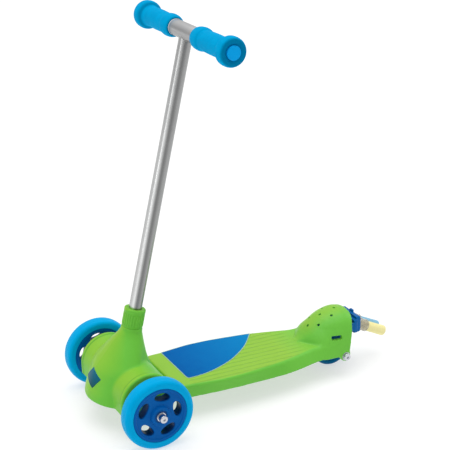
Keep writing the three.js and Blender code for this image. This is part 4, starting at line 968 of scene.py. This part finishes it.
def neck_value(x, y, z):
    """Field of the neck and nose: below zero inside, not yet in millimetres."""
    a, b, h = within(STEERED, x, y, z)
    down = np.clip((NECK_TOP - h) / NECK_LENGTH, 0, 1)

    def reach(key, full):
        return NECK_RADIUS + smooth_table(NECK, key, down) * (full - NECK_RADIUS)
    ahead = b < 0
    power = np.where(ahead, 2 - 0.2 * down, 2)
    span = np.where(ahead, reach("front", NOSE_REACH), reach("rear", SKIRT_REACH))
    narrow = reach("side", SIDE_REACH)
    wide = narrow + (reach("bell", BELL_REACH) - narrow) * eased((24 - b) / 30)
    value = (np.abs(a / wide) ** power + np.abs(b / span) ** power) ** (1 / power) - 1
    return value * np.minimum(wide, span)


def neck_distance(x, y, z):
    """The neck's field in millimetres near its surface."""
    step = 0.2
    value = neck_value(x, y, z)
    slopes = [(neck_value(x + dx, y + dy, z + dz) - neck_value(x - dx, y - dy, z - dz)) / (2 * step)
              for dx, dy, dz in ((step, 0, 0), (0, step, 0), (0, 0, step))]
    return value / np.maximum(np.sqrt(sum(slope ** 2 for slope in slopes)), 0.3)


def rod(a, b, radius):
    return np.hypot(a, b) - radius


def overlap(*fields):
    """Intersection of fields with sharp edges."""
    return functools.reduce(np.maximum, fields)


def peg(a, b, h, radius, low, high):
    """Rod between two heights."""
    return overlap(rod(a, b, radius), low - h, h - high)


def both(first, second, edge):
    """Intersection of two fields with a rounded edge."""
    p, q = first + edge, second + edge
    return np.minimum(np.maximum(p, q), 0) + np.hypot(np.maximum(p, 0), np.maximum(q, 0)) - edge


def block(coordinates, low, high, edge=0.0):
    """Box with rounded edges."""
    middle = [(a + b) / 2 for a, b in zip(low, high)]
    half = [(b - a) / 2 - edge for a, b in zip(low, high)]
    q = [np.abs(c - m) - h for c, m, h in zip(coordinates, middle, half)]
    outside = np.sqrt(sum(np.maximum(part, 0) ** 2 for part in q))
    return outside + np.minimum(overlap(*q), 0) - edge


ARCH_INNER, ARCH_OUTER, ARCH_RADIUS, ARCH_CENTRE, LIP_PROUD = 30, 95, 49, 68, 0.8
AXLE_AT, WALL, POST_RADIUS, BOSS_RADIUS = 63.5, 3.2, 16.5, 9
STEM_SOCKET, KINGPIN_WELL = 11.8, 9


def arch_field(x, y, z, inset=0.0, proud=0.0, start=ARCH_INNER):
    """Half-round wheel arch on two nearly upright legs, closed at its outer end."""
    radius, leaning = ARCH_RADIUS - inset - proud, 0.02 / 23.5
    legs = np.abs(y) - radius * (1 - leaning * np.clip(ARCH_CENTRE - z, 0, None))
    section = np.where(z > ARCH_CENTRE, np.hypot(y, z - ARCH_CENTRE) - radius, legs)
    return both(both(section, np.abs(x) - ARCH_OUTER + inset, 4), start - np.abs(x), 1.2)


def housing_mesh():
    """Hollow moulding: neck, nose and arches, with its post, ribs, bosses and split sleeve."""
    low, cell = (-116, -82, 40), 1.47
    ceiling, skirt_foot, post_foot, boss_end, root_end = 84, 46.5, -9.7, 113, 112.5
    rib_half, slit_half, slit_foot, slit_top = 1.3, 1.1, 109.5, 140
    x, y, z = grid_over(low, (116, 72, 200), cell)
    a, b, h = within(STEERED, x, y, z)
    width = np.abs(x)
    neck = even(neck_value(x, y, z), cell)
    outer = blended(both(neck, h - NECK_TOP, 1.0), arch_field(x, y, z, 0, LIP_PROUD), 2.5)
    outer = np.minimum(outer, arch_field(x, y, z, 0, 0, ARCH_LIP))
    inner = np.maximum(neck + WALL, h - ceiling)
    inner = blended(inner, arch_field(x, y, z, WALL, LIP_PROUD), 5)
    post = np.maximum(rod(a, b, POST_RADIUS), h - NECK_TOP + 4)
    sleeve = np.maximum(rod(a, b, 14.6), h - SLEEVE_TOP)
    post = np.maximum(np.minimum(post, sleeve), post_foot - h)
    shell = blended(cut_away(outer, inner), post, 3)
    for angle in np.radians((-90, 52, 128)):
        c, s = math.cos(angle), math.sin(angle)
        rib = block((a * c + b * s, b * c - a * s, h), (0, -rib_half, -3.7),
                    (97, rib_half, ceiling))
        shell = blended(shell, np.maximum(rib, outer + 0.8), 2)
    boss = np.maximum(rod(y, z - AXLE_AT, BOSS_RADIUS), width - boss_end)
    root = BOSS_RADIUS + 2.5 * (1 - (width - ARCH_OUTER) / 18)
    root = overlap(rod(y, z - AXLE_AT, root), width - root_end, ARCH_OUTER - 1 - width)
    shell = blended(shell, np.minimum(boss, root), 3)
    # the level foot, and room for the deck's tongue behind
    shell = cut_away(shell, z - skirt_foot, 1.2)
    shell = cut_away(shell, overlap(z - 57, width - 50, 16 - y), 1.2)
    for tool in (
            np.maximum(rod(a, b, PIN_BORE), h - 14.7),
            peg(a, b, h, KINGPIN_WELL, 5, 28),
            np.maximum(rod(a, b, STEM_SOCKET), 26 - h),
            np.maximum(rod(y, z - AXLE_AT, PIN_BORE), 42.7 - width),
            block((width, y, z), (44.5, -6.7, 52.5), (51.6, 6.7, 71.2), 0.5),
            *(block((*across, h), (-slit_half, -19, slit_foot), (slit_half, 19, slit_top))
              for across in ((a, b), (b, a)))):
        shell = cut_away(shell, tool)
    return moulding(np.maximum(shell, h - SLEEVE_TOP), low, cell, 3)


BADGE_HEIGHT, BADGE_WIDTH = 85, 50
BADGE_CORNERS = [(0.5, 0.09), (-0.12, 0.31), (-0.5, -0.12), (0.2, -0.31)]


def rounded_outline(corners, radius):
    """Closed outline of straight sides and round corners, with points along the sides."""
    clear, spacing = 1000, 1.5
    soft = softened([(a + clear, b) for a, b in corners], radius, 6)
    soft = [(a - clear, b) for a, b in soft]
    dense = []
    for k, (a, b) in enumerate(soft):
        c, d = soft[(k + 1) % len(soft)]
        parts = max(1, int(math.dist((a, b), (c, d)) / spacing))
        dense += [(a + (c - a) * n / parts, b + (d - b) * n / parts) for n in range(parts)]
    return dense


def nose_surface(x, z, proud):
    """Y of the nose's skin, raised by a height, ahead of given points."""
    low, high = np.full_like(x, -90.0), np.full_like(x, -10.0)
    for _ in range(40):
        middle = (low + high) / 2
        ahead = neck_distance(x, middle, z) > proud
        low, high = np.where(ahead, middle, low), np.where(ahead, high, middle)
    return (low + high) / 2


def badge_mesh():
    """Lozenge that follows the nose, with a raised rim round a plain field."""
    outline = np.array(rounded_outline(
        [(a * BADGE_WIDTH, b * BADGE_WIDTH) for a, b in BADGE_CORNERS], 1.6))
    centre = outline.mean(0)
    levels = [(1.0, -1.0), (1.0, 0.4), (0.985, 0.8), (0.96, 0.9), (0.9, 0.9), (0.88, 0.72)]
    levels += [(share, 0.7) for share in (0.84, 0.7, 0.55, 0.4, 0.25, 0.1)]
    rings = []
    for share, proud in levels:
        x, z = (centre + (outline - centre) * share).T
        rings.append(list(zip(x, nose_surface(x, z + BADGE_HEIGHT, proud), z + BADGE_HEIGHT)))
    return lofted(rings)


piece("steering_shell", housing_mesh(), "green_plastic", "front",
      ["front_housing"], sharp=50)
piece("nose_lozenge", badge_mesh(), "blue_badge", "front", ["nose_badge"])

COLLAR_FOOT, COLLAR_HEIGHT, COLLAR_RADIUS, COLLAR_RIBS = NECK_TOP + 0.3, 33.8, 18.2, 26
COLLAR_BORE = 14.9
collar_top = COLLAR_FOOT + COLLAR_HEIGHT
collar_body = turned(
    [(COLLAR_BORE, COLLAR_FOOT), (COLLAR_RADIUS - 0.2, COLLAR_FOOT),
     (COLLAR_RADIUS, COLLAR_FOOT + 0.5),
     (COLLAR_RADIUS, collar_top - 8.5), (COLLAR_RADIUS + 0.7, collar_top - 7.5),
     *arc(COLLAR_RADIUS - 1.3, collar_top - 2, 2, 0, 90), (STEM_SOCKET, collar_top),
     (STEM_SOCKET, collar_top - 3), (COLLAR_BORE, collar_top - 3)], STEERED, 104)


def collar_rib():
    """Upright rib with round ends, drawn about the steering axis."""
    half = math.pi * COLLAR_RADIUS * 0.55 / COLLAR_RIBS
    low, high = COLLAR_FOOT + 3.0, collar_top - 8.8
    middle = (low + high) / 2
    outline = rounded_outline([(-half, low), (half, low), (half, high), (-half, high)],
                              half * 0.95)
    rings = [[(COLLAR_RADIUS + proud, a * share,
               b - (1 - share) * math.copysign(half, b - middle)) for a, b in outline]
             for share, proud in ((1.0, -1.5), (1.0, 0.25), (0.8, 0.5), (0.45, 0.6))]
    return lofted(rings, AT_FRAME_ORIGIN @ Matrix.Rotation(-RAKE, 4, "X")
                  @ Matrix.Rotation(math.pi / COLLAR_RIBS, 4, "Z"))


steering_foot = (INTO_FRAME @ STEERED).translation
steering_axis = STEERED.to_3x3() @ Vector((0, 0, 1))
piece("clamp_collar", repeated(collar_body, collar_rib(), ADD_ROUND, COLLAR_RIBS, steering_foot,
                               steering_axis, "green_plastic"),
      "green_plastic", "front", ["locking_collar"])


# Deck and fender

DECK_FRONT, DECK_TOP, DECK_BOTTOM, DECK_HALF, CAVITY_REAR = 66.5, 64.8, 42, 78, 362
RIM_FOOT, RIM_LEAN = 428, math.radians(16.5)
# Shares of the deck's half width at its top and bottom edges, from front to rear
DECK = table(("along", "top", "bottom"), [
    (0, 0.79, 0.84), (0.005, 0.86, 0.9), (0.015, 0.89, 0.93), (0.04, 0.9, 0.945),
    (0.087, 0.91, 0.955), (0.17, 0.96, 0.98), (0.257, 1, 1), (0.34, 0.995, 1.005),
    (0.422, 0.962, 1), (0.505, 0.917, 0.99), (0.587, 0.865, 0.975), (0.643, 0.808, 0.94),
    (0.697, 0.744, 0.89), (0.752, 0.672, 0.825), (0.807, 0.61, 0.763), (0.86, 0.602, 0.738),
    (0.92, 0.615, 0.73), (1, 0.628, 0.73),
])
DOME_FRONT, DOME_CROWN_AT, DOME_HALF, DOME_SPRING, DOME_CROWN = 345, 430, 47.5, 66, 114.3
DOME = table(("along", "rise"), [
    (0, 0.01), (0.08, 0.12), (0.18, 0.29), (0.294, 0.49), (0.447, 0.695), (0.6, 0.85),
    (0.776, 0.948), (1, 1), (1.33, 0.89)])
FLARE_FROM, FLARE_TO, FLARE_TOP = 350, 384, 90


def deck_half(y, key):
    return DECK_HALF * smooth_table(DECK, key, (y - DECK_FRONT) / (RIM_FOOT - DECK_FRONT))


def dome_size(y):
    """Half width of the dome and its rise over its foot."""
    ahead, blunt = np.clip((DOME_CROWN_AT - y) / (DOME_CROWN_AT - DOME_FRONT), 0, 1), 1.75
    half = DOME_HALF * np.maximum((1 - ahead ** blunt) ** (1 / blunt), 0.12)
    along = (y - DOME_FRONT) / (DOME_CROWN_AT - DOME_FRONT)
    return half, smooth_table(DOME, "rise", along) * (DOME_CROWN - DOME_SPRING)


def dome_power(y):
    """Exponent of the dome's section: round ahead, a little squarer towards the rear rim."""
    return 2 + 0.35 * np.clip((y - 385) / 50, 0, 1)


def dome_field(x, y, z, inset, foot_half=None):
    """Dome over a foot that spreads to a half width of its own, or flares to the deck's edge."""
    half, rise = dome_size(y)
    half, rise = half - inset, np.maximum(rise - inset, 0.5)
    over = np.clip(z - DOME_SPRING, 0, None)
    if foot_half is None:
        share = np.clip((FLARE_TOP - z) / (FLARE_TOP - DECK_BOTTOM), 0, 1)
        flare = eased((y - FLARE_FROM) / (FLARE_TO - FLARE_FROM))
        wide = half + (deck_half(y, "bottom") - half) * share * flare
    else:
        share = np.clip((DOME_SPRING - z) / (DOME_SPRING - 40), 0, 1)
        wide = half + (foot_half - half) * share
    power = dome_power(y)
    round_field = (np.abs(x / wide) ** power + (over / rise) ** power) ** (1 / power)
    return (round_field - 1) * np.minimum(half, rise + 15)


def dome_height(x, y):
    half, rise = dome_size(np.array([y], float))
    power = float(dome_power(y))
    across = abs(x / float(half[0])) ** power
    return DOME_SPRING + float(rise[0]) * max(1 - across, 0) ** (1 / power)


def deck_mesh():
    """Hollow moulding: deck, fender over the rear wheel, tongue to the kingpin, axle lugs."""
    low, cell = (-83, -36, 27), 1.55
    tongue_from, tongue_to, tongue_top = -12, 70, 50.5
    eye_radius, eye_middle, eye_half = 20, -16.5, 4.5
    lug_radius, lug_middle, lug_half, well_front, top_skin = 10.2, 52.25, 6.25, 370, 3.4
    x, y, z = grid_over(low, (83, 463, 122), cell)
    a, b, h = within(STEERED, x, y, z)
    width = np.abs(x)
    level = np.clip((z - DECK_BOTTOM) / (DECK_TOP - DECK_BOTTOM), 0, 1)
    half = deck_half(y, "bottom") * (1 - level) + deck_half(y, "top") * level
    side = even(width - half, cell)
    slab = both(side, z - DECK_TOP, 4.5)
    slab = both(both(slab, DECK_FRONT - y, 5.5), DECK_BOTTOM - z, 1.0)
    dome = even(dome_field(x, y, z, 0), cell)
    dome = overlap(dome, DOME_FRONT - 2 - y, DECK_BOTTOM - z)
    body = blended(slab, dome, np.interp(y, [340, 390, 420], [4, 6, 9]))
    # tongue towards the steering axis, and the eye round the kingpin
    eye = np.maximum(rod(a, b, eye_radius), np.abs(h - eye_middle) - eye_half)
    arm = overlap(width - (19.6 + 10.4 * np.clip((y - 8) / 56, 0, 1)), tongue_from - y,
                  y - tongue_to, z - tongue_top, DECK_BOTTOM - z)
    arm = cut_away(arm, peg(a, b, h, 40, -12, 12))
    body = blended(body, np.maximum(blended(arm, eye, 2), DECK_BOTTOM - z), 2)
    # rear rim, the wheel's well and the cavity under the deck
    behind = (y - RIM_FOOT) * math.cos(RIM_LEAN) - (z - DECK_BOTTOM) * math.sin(RIM_LEAN)
    body = both(body, behind - 3.5 * np.clip((z - 98) / 16, 0, 1), 1.2)
    foot = deck_half(y, "bottom") - WALL - 1.5
    well = np.maximum(even(dome_field(x, y, z, WALL, foot), cell), well_front - y)
    body = cut_away(body, well, 1.0)
    cavity = both(side + 3, z - DECK_TOP + top_skin, 3)
    body = cut_away(body, overlap(cavity, DECK_FRONT + 3 - y, y - CAVITY_REAR))
    back, rise = y - WHEELBASE, z - REAR_AXLE_Z
    lug = np.maximum(rod(back, rise, lug_radius), np.abs(width - lug_middle) - lug_half)
    body = blended(body, lug, 2.5)
    for tool in (np.maximum(rod(back, rise, PIN_BORE), 40 - width),
                 np.maximum(rod(a, b, 7), h), peg(a, b, h, 10, -40, -17.6)):
        body = cut_away(body, tool)
    return moulding(body, low, cell, 4)


INLAY_EDGE = table(("along", "side"), [
    (0.0, 0.58), (0.03, 0.6), (0.16, 0.58), (0.29, 0.51), (0.42, 0.39), (0.56, 0.22),
    (0.7, -0.02), (0.81, -0.25), (0.9, -0.49), (0.965, -0.69), (1, -0.8)])


def inlay_outline(inset):
    """Free edge over the deck, then back along the deck's far edge, drawn in by an inset."""
    length = INLAY_REAR - INLAY_FRONT
    along = np.concatenate([np.linspace(0.03, 0.9, 50), np.linspace(0.91, 1, 8)])
    free = np.stack([smooth_table(INLAY_EDGE, "side", along) * DECK_HALF,
                     INLAY_FRONT + along * length], 1)
    corner = [(0.58 * DECK_HALF - 5, INLAY_FRONT), (0.58 * DECK_HALF - 1.6, INLAY_FRONT + 1.0),
              (0.6 * DECK_HALF - 0.6, INLAY_FRONT + 2.8)]
    y = np.linspace(INLAY_REAR, INLAY_FRONT + 3, 60)
    far = np.stack([-deck_half(y, "top") + 2.25, y], 1)
    far[0, 0] = max(far[0, 0], free[-1, 0] - 2.5)
    turn = [(far[-1, 0] + 0.9, INLAY_FRONT + 0.9), (far[-1, 0] + 3, INLAY_FRONT)]
    loop = np.concatenate([np.array(corner), free, far, np.array(turn)])
    if not inset:
        return loop
    ahead, behind = np.roll(loop, -1, 0), np.roll(loop, 1, 0)
    run = ahead - behind
    normal = np.stack([run[:, 1], -run[:, 0]], 1) / np.hypot(run[:, 0], run[:, 1])[:, None]
    area = np.sum(loop[:, 0] * ahead[:, 1] - ahead[:, 0] * loop[:, 1])
    return loop - normal * math.copysign(inset, area)


def plate(*levels, closed=False):
    """Mesh through level outlines, each given with its height."""
    return lofted([[(a, b, z) for a, b in outline] for outline, z in levels], closed=closed)


VENT_SIDE, VENT_RADIUS, VENT_DEPTH = 17.5, 2.6, 6.4
SLOT_Y, SLOT_Z, SLOT_HALF, SLOT_HIGH = 406, 75.5, 10.5, 4


def vent_cutters():
    """One cutter for each vent hole, square to the dome."""
    profile = [(0, -VENT_DEPTH), (VENT_RADIUS, -VENT_DEPTH), (VENT_RADIUS, -0.4), (3.0, 0.2),
               (3.1, 2), (0, 2)]
    step, cutters = 2, []
    for x, places in ((0, (25, 51, 82)), (-VENT_SIDE, (38, 66)), (VENT_SIDE, (38, 66))):
        for y in (DOME_FRONT + ahead for ahead in places):
            here = Vector((x, y, dome_height(x, y)))
            along_x = Vector((2 * step, 0, dome_height(x + step, y) - dome_height(x - step, y)))
            along_y = Vector((0, 2 * step, dome_height(x, y + step) - dome_height(x, y - step)))
            out = along_x.cross(along_y).normalized()
            place = Matrix.Translation(here) @ out.to_track_quat("Z", "Y").to_matrix().to_4x4()
            cutters.append(turned(profile, place, 32))
    return cutters


def slot_cutter(sign):
    """Cutter of the slot through one side wall of the fender."""
    outline = rounded_outline([(-SLOT_HALF, -SLOT_HIGH), (SLOT_HALF, -SLOT_HIGH),
                               (SLOT_HALF, SLOT_HIGH), (-SLOT_HALF, SLOT_HIGH)], SLOT_HIGH - 0.05)
    return lofted([[(sign * x, a + SLOT_Y, b + SLOT_Z) for a, b in outline] for x in (31.4, 54)])


pocket = plate((inlay_outline(0), 63.6), (inlay_outline(0), 67))
deck = cut_by(deck_mesh(), pocket, slot_cutter(1), slot_cutter(-1), *vent_cutters())
piece("deck_shell", deck, "deck_green", "chassis", ["deck_chassis"], sharp=50)

film = plate((inlay_outline(0.3), 63.9), (inlay_outline(0.3), 64.85),
             (inlay_outline(0.5), INLAY_TOP), (inlay_outline(1.3), INLAY_TOP))
piece("deck_film", film, "blue_film", "chassis", ["deck_inlay"])
film_edge = plate(*[(inlay_outline(inset), z) for inset, z in (
    (0.25, 64.9), (1.5, 64.9), (1.5, INLAY_TOP + 0.06), (0.25, INLAY_TOP + 0.06))], closed=True)
piece("deck_film_edge", film_edge, "pale_rim", "chassis")


def rib_plate(middle, half_x, half_y, high):
    """Moulded rib, thinner towards its free lower edge, with its edges broken."""
    levels, low = [], DECK_BOTTOM + 0.02
    for z, draft in ((low, 0.62), (low + 0.5, 0.8), (high, 1.0)):
        thinner = min(half_x, half_y) * (1 - draft)
        a = half_x - thinner if half_x < half_y else half_x
        b = half_y - thinner if half_y <= half_x else half_y
        levels.append(([(middle[0] + i * a, middle[1] + j * b)
                        for i, j in ((-1, -1), (1, -1), (1, 1), (-1, 1))], z))
    return plate(*levels)


RIB_FROM, RIB_HALF = DECK_FRONT + 3, 1.1
RIB_MIDDLE, RIB_LENGTH = (RIB_FROM + CAVITY_REAR) / 2, CAVITY_REAR - RIB_FROM
ribs = []
for y in np.linspace(RIB_FROM, CAVITY_REAR, 8)[1:-1]:
    half = float(deck_half(np.array([y]), "top")[0]) - 1.5
    ribs.append(rib_plate((0, y), half, RIB_HALF, DECK_TOP - 2))
for x in (-40, 0, 40):
    ribs.append(rib_plate((x, RIB_MIDDLE), RIB_HALF, RIB_LENGTH / 2 + 1, DECK_TOP - 2.2))
piece("deck_ribs", merged(*ribs), "green_plastic", "chassis")


# Steering pivot under the housing

bush = [(PIN_BORE, -17.6), (6.7, -17.6), (6.7, -11.7), (9.4, -11.7), (9.4, -10.0),
        (PIN_BORE, -10.0)]
piece("pivot_bush", turned(bush, STEERED, 64, 0.3), "white_nylon", "chassis",
      ["steering_bush"])
piece("pivot_washer", band(STEERED, WASHER_RADIUS, -19.3, -17.9), "bright_steel", "front",
      ["kingpin_washer"])
down = STEERED @ Matrix.Rotation(math.pi, 4, "X")
piece("pivot_bolt", bolt_mesh(down, -13.0, 19.6, 4.6), "bright_steel", "front",
      ["kingpin"])


# Chalk holder about the rear axle

def polygon_field(outline, a, b):
    """Signed distance to a closed outline in a plane."""
    best = np.full(a.shape, 1e9)
    inside = np.zeros(a.shape, bool)
    for (a0, b0), (a1, b1) in zip(outline, outline[1:] + outline[:1]):
        da, db = a1 - a0, b1 - b0
        t = np.clip(((a - a0) * da + (b - b0) * db) / (da * da + db * db + 1e-12), 0, 1)
        best = np.minimum(best, np.hypot(a - a0 - t * da, b - b0 - t * db))
        crosses = (b0 > b) != (b1 > b)
        if db:
            inside ^= crosses & (a < a0 + (b - b0) * da / db)
    return np.where(inside, -best, best)


def rounded_rectangle_field(a, b, half_a, half_b, radius):
    p, q = np.abs(a) - half_a + radius, np.abs(b) - half_b + radius
    return np.hypot(np.maximum(p, 0), np.maximum(q, 0)) + np.minimum(np.maximum(p, q), 0) - radius


CHALK_TILT, CHALK_SIDE, CHALK_RISE = math.radians(25.5), 13.5, 38
HEAD_AT, HEAD_RISE, HEAD_HALF, HEAD_HEIGHT, HEAD_DEPTH = 40, 42.5, 29, 17, 12
OUT_OF_HEAD = (REAR @ Matrix.Translation((0, HEAD_AT + HEAD_DEPTH, CHALK_RISE))
               @ Matrix.Rotation(-math.pi / 2 - CHALK_TILT, 4, "X"))


def holder_mesh():
    """Two side plates on the axle, joined by the head that takes the chalks."""
    low, cell = (-42, 383, 27), 0.85
    plate_middle, plate_half, thumb_end, bridge_half = 29.3, 1.8, 35.6, 31.1
    x, y, z = grid_over(low, (42, 480, 106), cell)
    width, back, rise = np.abs(x), y - WHEELBASE, z - REAR_AXLE_Z
    side = arc(0, 0, 9, 180, 330, 13)
    side += [(27, 30), (40, 36), (40, 50), (-13, 43), (-26, 35), (-26, 26)]
    plates = both(polygon_field(side, back, rise), np.abs(width - plate_middle) - plate_half, 0.8)
    thumb = rounded_rectangle_field(back + 14, rise - 35.5, 7.5, 4.75, 3.1)
    thumb = np.maximum(both(thumb, width - thumb_end, 1.0), plate_middle - plate_half - width)
    body = blended(plates, thumb, 1.5)
    head_back, head_rise = back - HEAD_AT, rise - HEAD_RISE
    bulge = np.hypot(np.clip(head_back - 7, 0, None) / 5, head_rise / HEAD_HEIGHT) - 1
    head = both(even(bulge * 5, cell), np.abs(head_rise) - HEAD_HEIGHT, 1.5)
    head = both(head, rounded_rectangle_field(x, head_back, HEAD_HALF, HEAD_DEPTH, 5), 1.5)
    head = both(head, rounded_rectangle_field(x, head_rise, HEAD_HALF, HEAD_HEIGHT, 6), 1.5)
    head = both(head, -head_back, 1.0)
    tab = block((x, head_back, head_rise), (-5, 4.5, 0), (5, 9.5, 21), 1.6)
    bridge = block((x, back, rise), (-bridge_half, 34, 28), (bridge_half, 42, 54), 1.0)
    body = blended(blended(blended(body, head, 2), tab, 1.5), bridge, 1.5)
    p, q, r = within(OUT_OF_HEAD, x, y, z)
    for sign in (-1, 1):
        for radius, start, end in ((9.7, -8.3, 18), (12.1, -5.3, 33)):
            socket = peg(p - sign * CHALK_SIDE, q, r, radius, start, end)
            body = cut_away(body, socket, 0.6)
    return moulding(cut_away(body, rod(back, rise, PIN_BORE)), low, cell, 2)


piece("chalk_yoke", holder_mesh(), "dark_blue_plastic", "chalk_holder",
      ["chalk_holder"], sharp=50)
for (side, sign), finish, end in zip(SIDES.items(), ("yellow_chalk", "blue_chalk"), (66, 69.3)):
    place = OUT_OF_HEAD @ Matrix.Translation((sign * CHALK_SIDE, 0, 0))
    stick = [(0, -8), (9.4, -8), (9.4, 21), (9.9, end - 1.8), (9.5, end - 0.7), (8.4, end),
             (0, end)]
    piece(f"{finish}_stick", turned(stick, place, 64), finish, "chalk_holder",
          [f"chalk_{side}"])
    sleeve = [(9.7, -5), (11.8, -5), (11.8, 19.8), (11.4, 20.6), (10.6, 21), (9.7, 21)]
    piece(f"chalk_grip_{side}", turned(sleeve, place, 72, 0.2), "clear_sleeve", "chalk_holder",
          [f"chalk_sleeve_{side}"])

# Finishes of the nuts that stay as packed
for name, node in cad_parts.items():
    if name.endswith("_nut") or "_nut_" in name:
        node.data.materials.clear()
        node.data.materials.append(MATERIALS["bright_steel"])


# Studio

def softbox(name, place, size, power):
    data = bpy.data.lights.new(name, "AREA")
    data.shape, data.size, data.size_y, data.energy = "RECTANGLE", *size, power
    aimed(placed(name, data), place, (0, 0, 0.3))


overhead = bpy.data.lights.new("overhead_silk", "SUN")
overhead.energy, overhead.angle = 1.4, math.radians(60)
aimed(placed("overhead_silk", overhead), (-0.1, -0.08, 1.4), (0, 0, 0))
softbox("left_strip", (0.1, -2.6, 0.7), (0.35, 1.5), 3)
softbox("rear_strip", (-0.2, 2.6, 1.9), (1.6, 0.5), 10)
scene.world = bpy.data.worlds.new("studio")
scene.world.use_nodes = True
sky = scene.world.node_tree
sky_lean = add(sky, "ShaderNodeVectorMath",
               {0: sky.nodes.new("ShaderNodeTexCoord").outputs["Generated"],
                1: (-0.12, -0.03, 0.98)}, operation="DOT_PRODUCT")
fade = add(sky, "ShaderNodeMapRange", {"Value": sky_lean.outputs["Value"], "From Min": -0.4,
                                       "From Max": 0.9, "To Min": 0.2, "To Max": 0.8})
sky.links.new(fade.outputs["Result"], sky.nodes["Background"].inputs["Strength"])
sky.nodes["Background"].inputs["Color"].default_value = WHITE

floor_mesh = bpy.data.meshes.new("floor")
FLOOR = 40
floor_mesh.from_pydata([(-FLOOR, -FLOOR, 0), (FLOOR, -FLOOR, 0), (FLOOR, FLOOR, 0),
                        (-FLOOR, FLOOR, 0)], [], [(0, 1, 2, 3)])
floor = placed("floor", floor_mesh)
floor.location.z = -0.0005
paper = Finish("studio_paper")
paper.shade(Base_Color=paper.ramp(paper.noise(3), *pair((176, 176, 176), (178, 178, 178))),
            Roughness=0.9, Specular_IOR_Level=0.1, Emission_Color=WHITE, Emission_Strength=0.58)
floor_mesh.materials.append(paper.material)
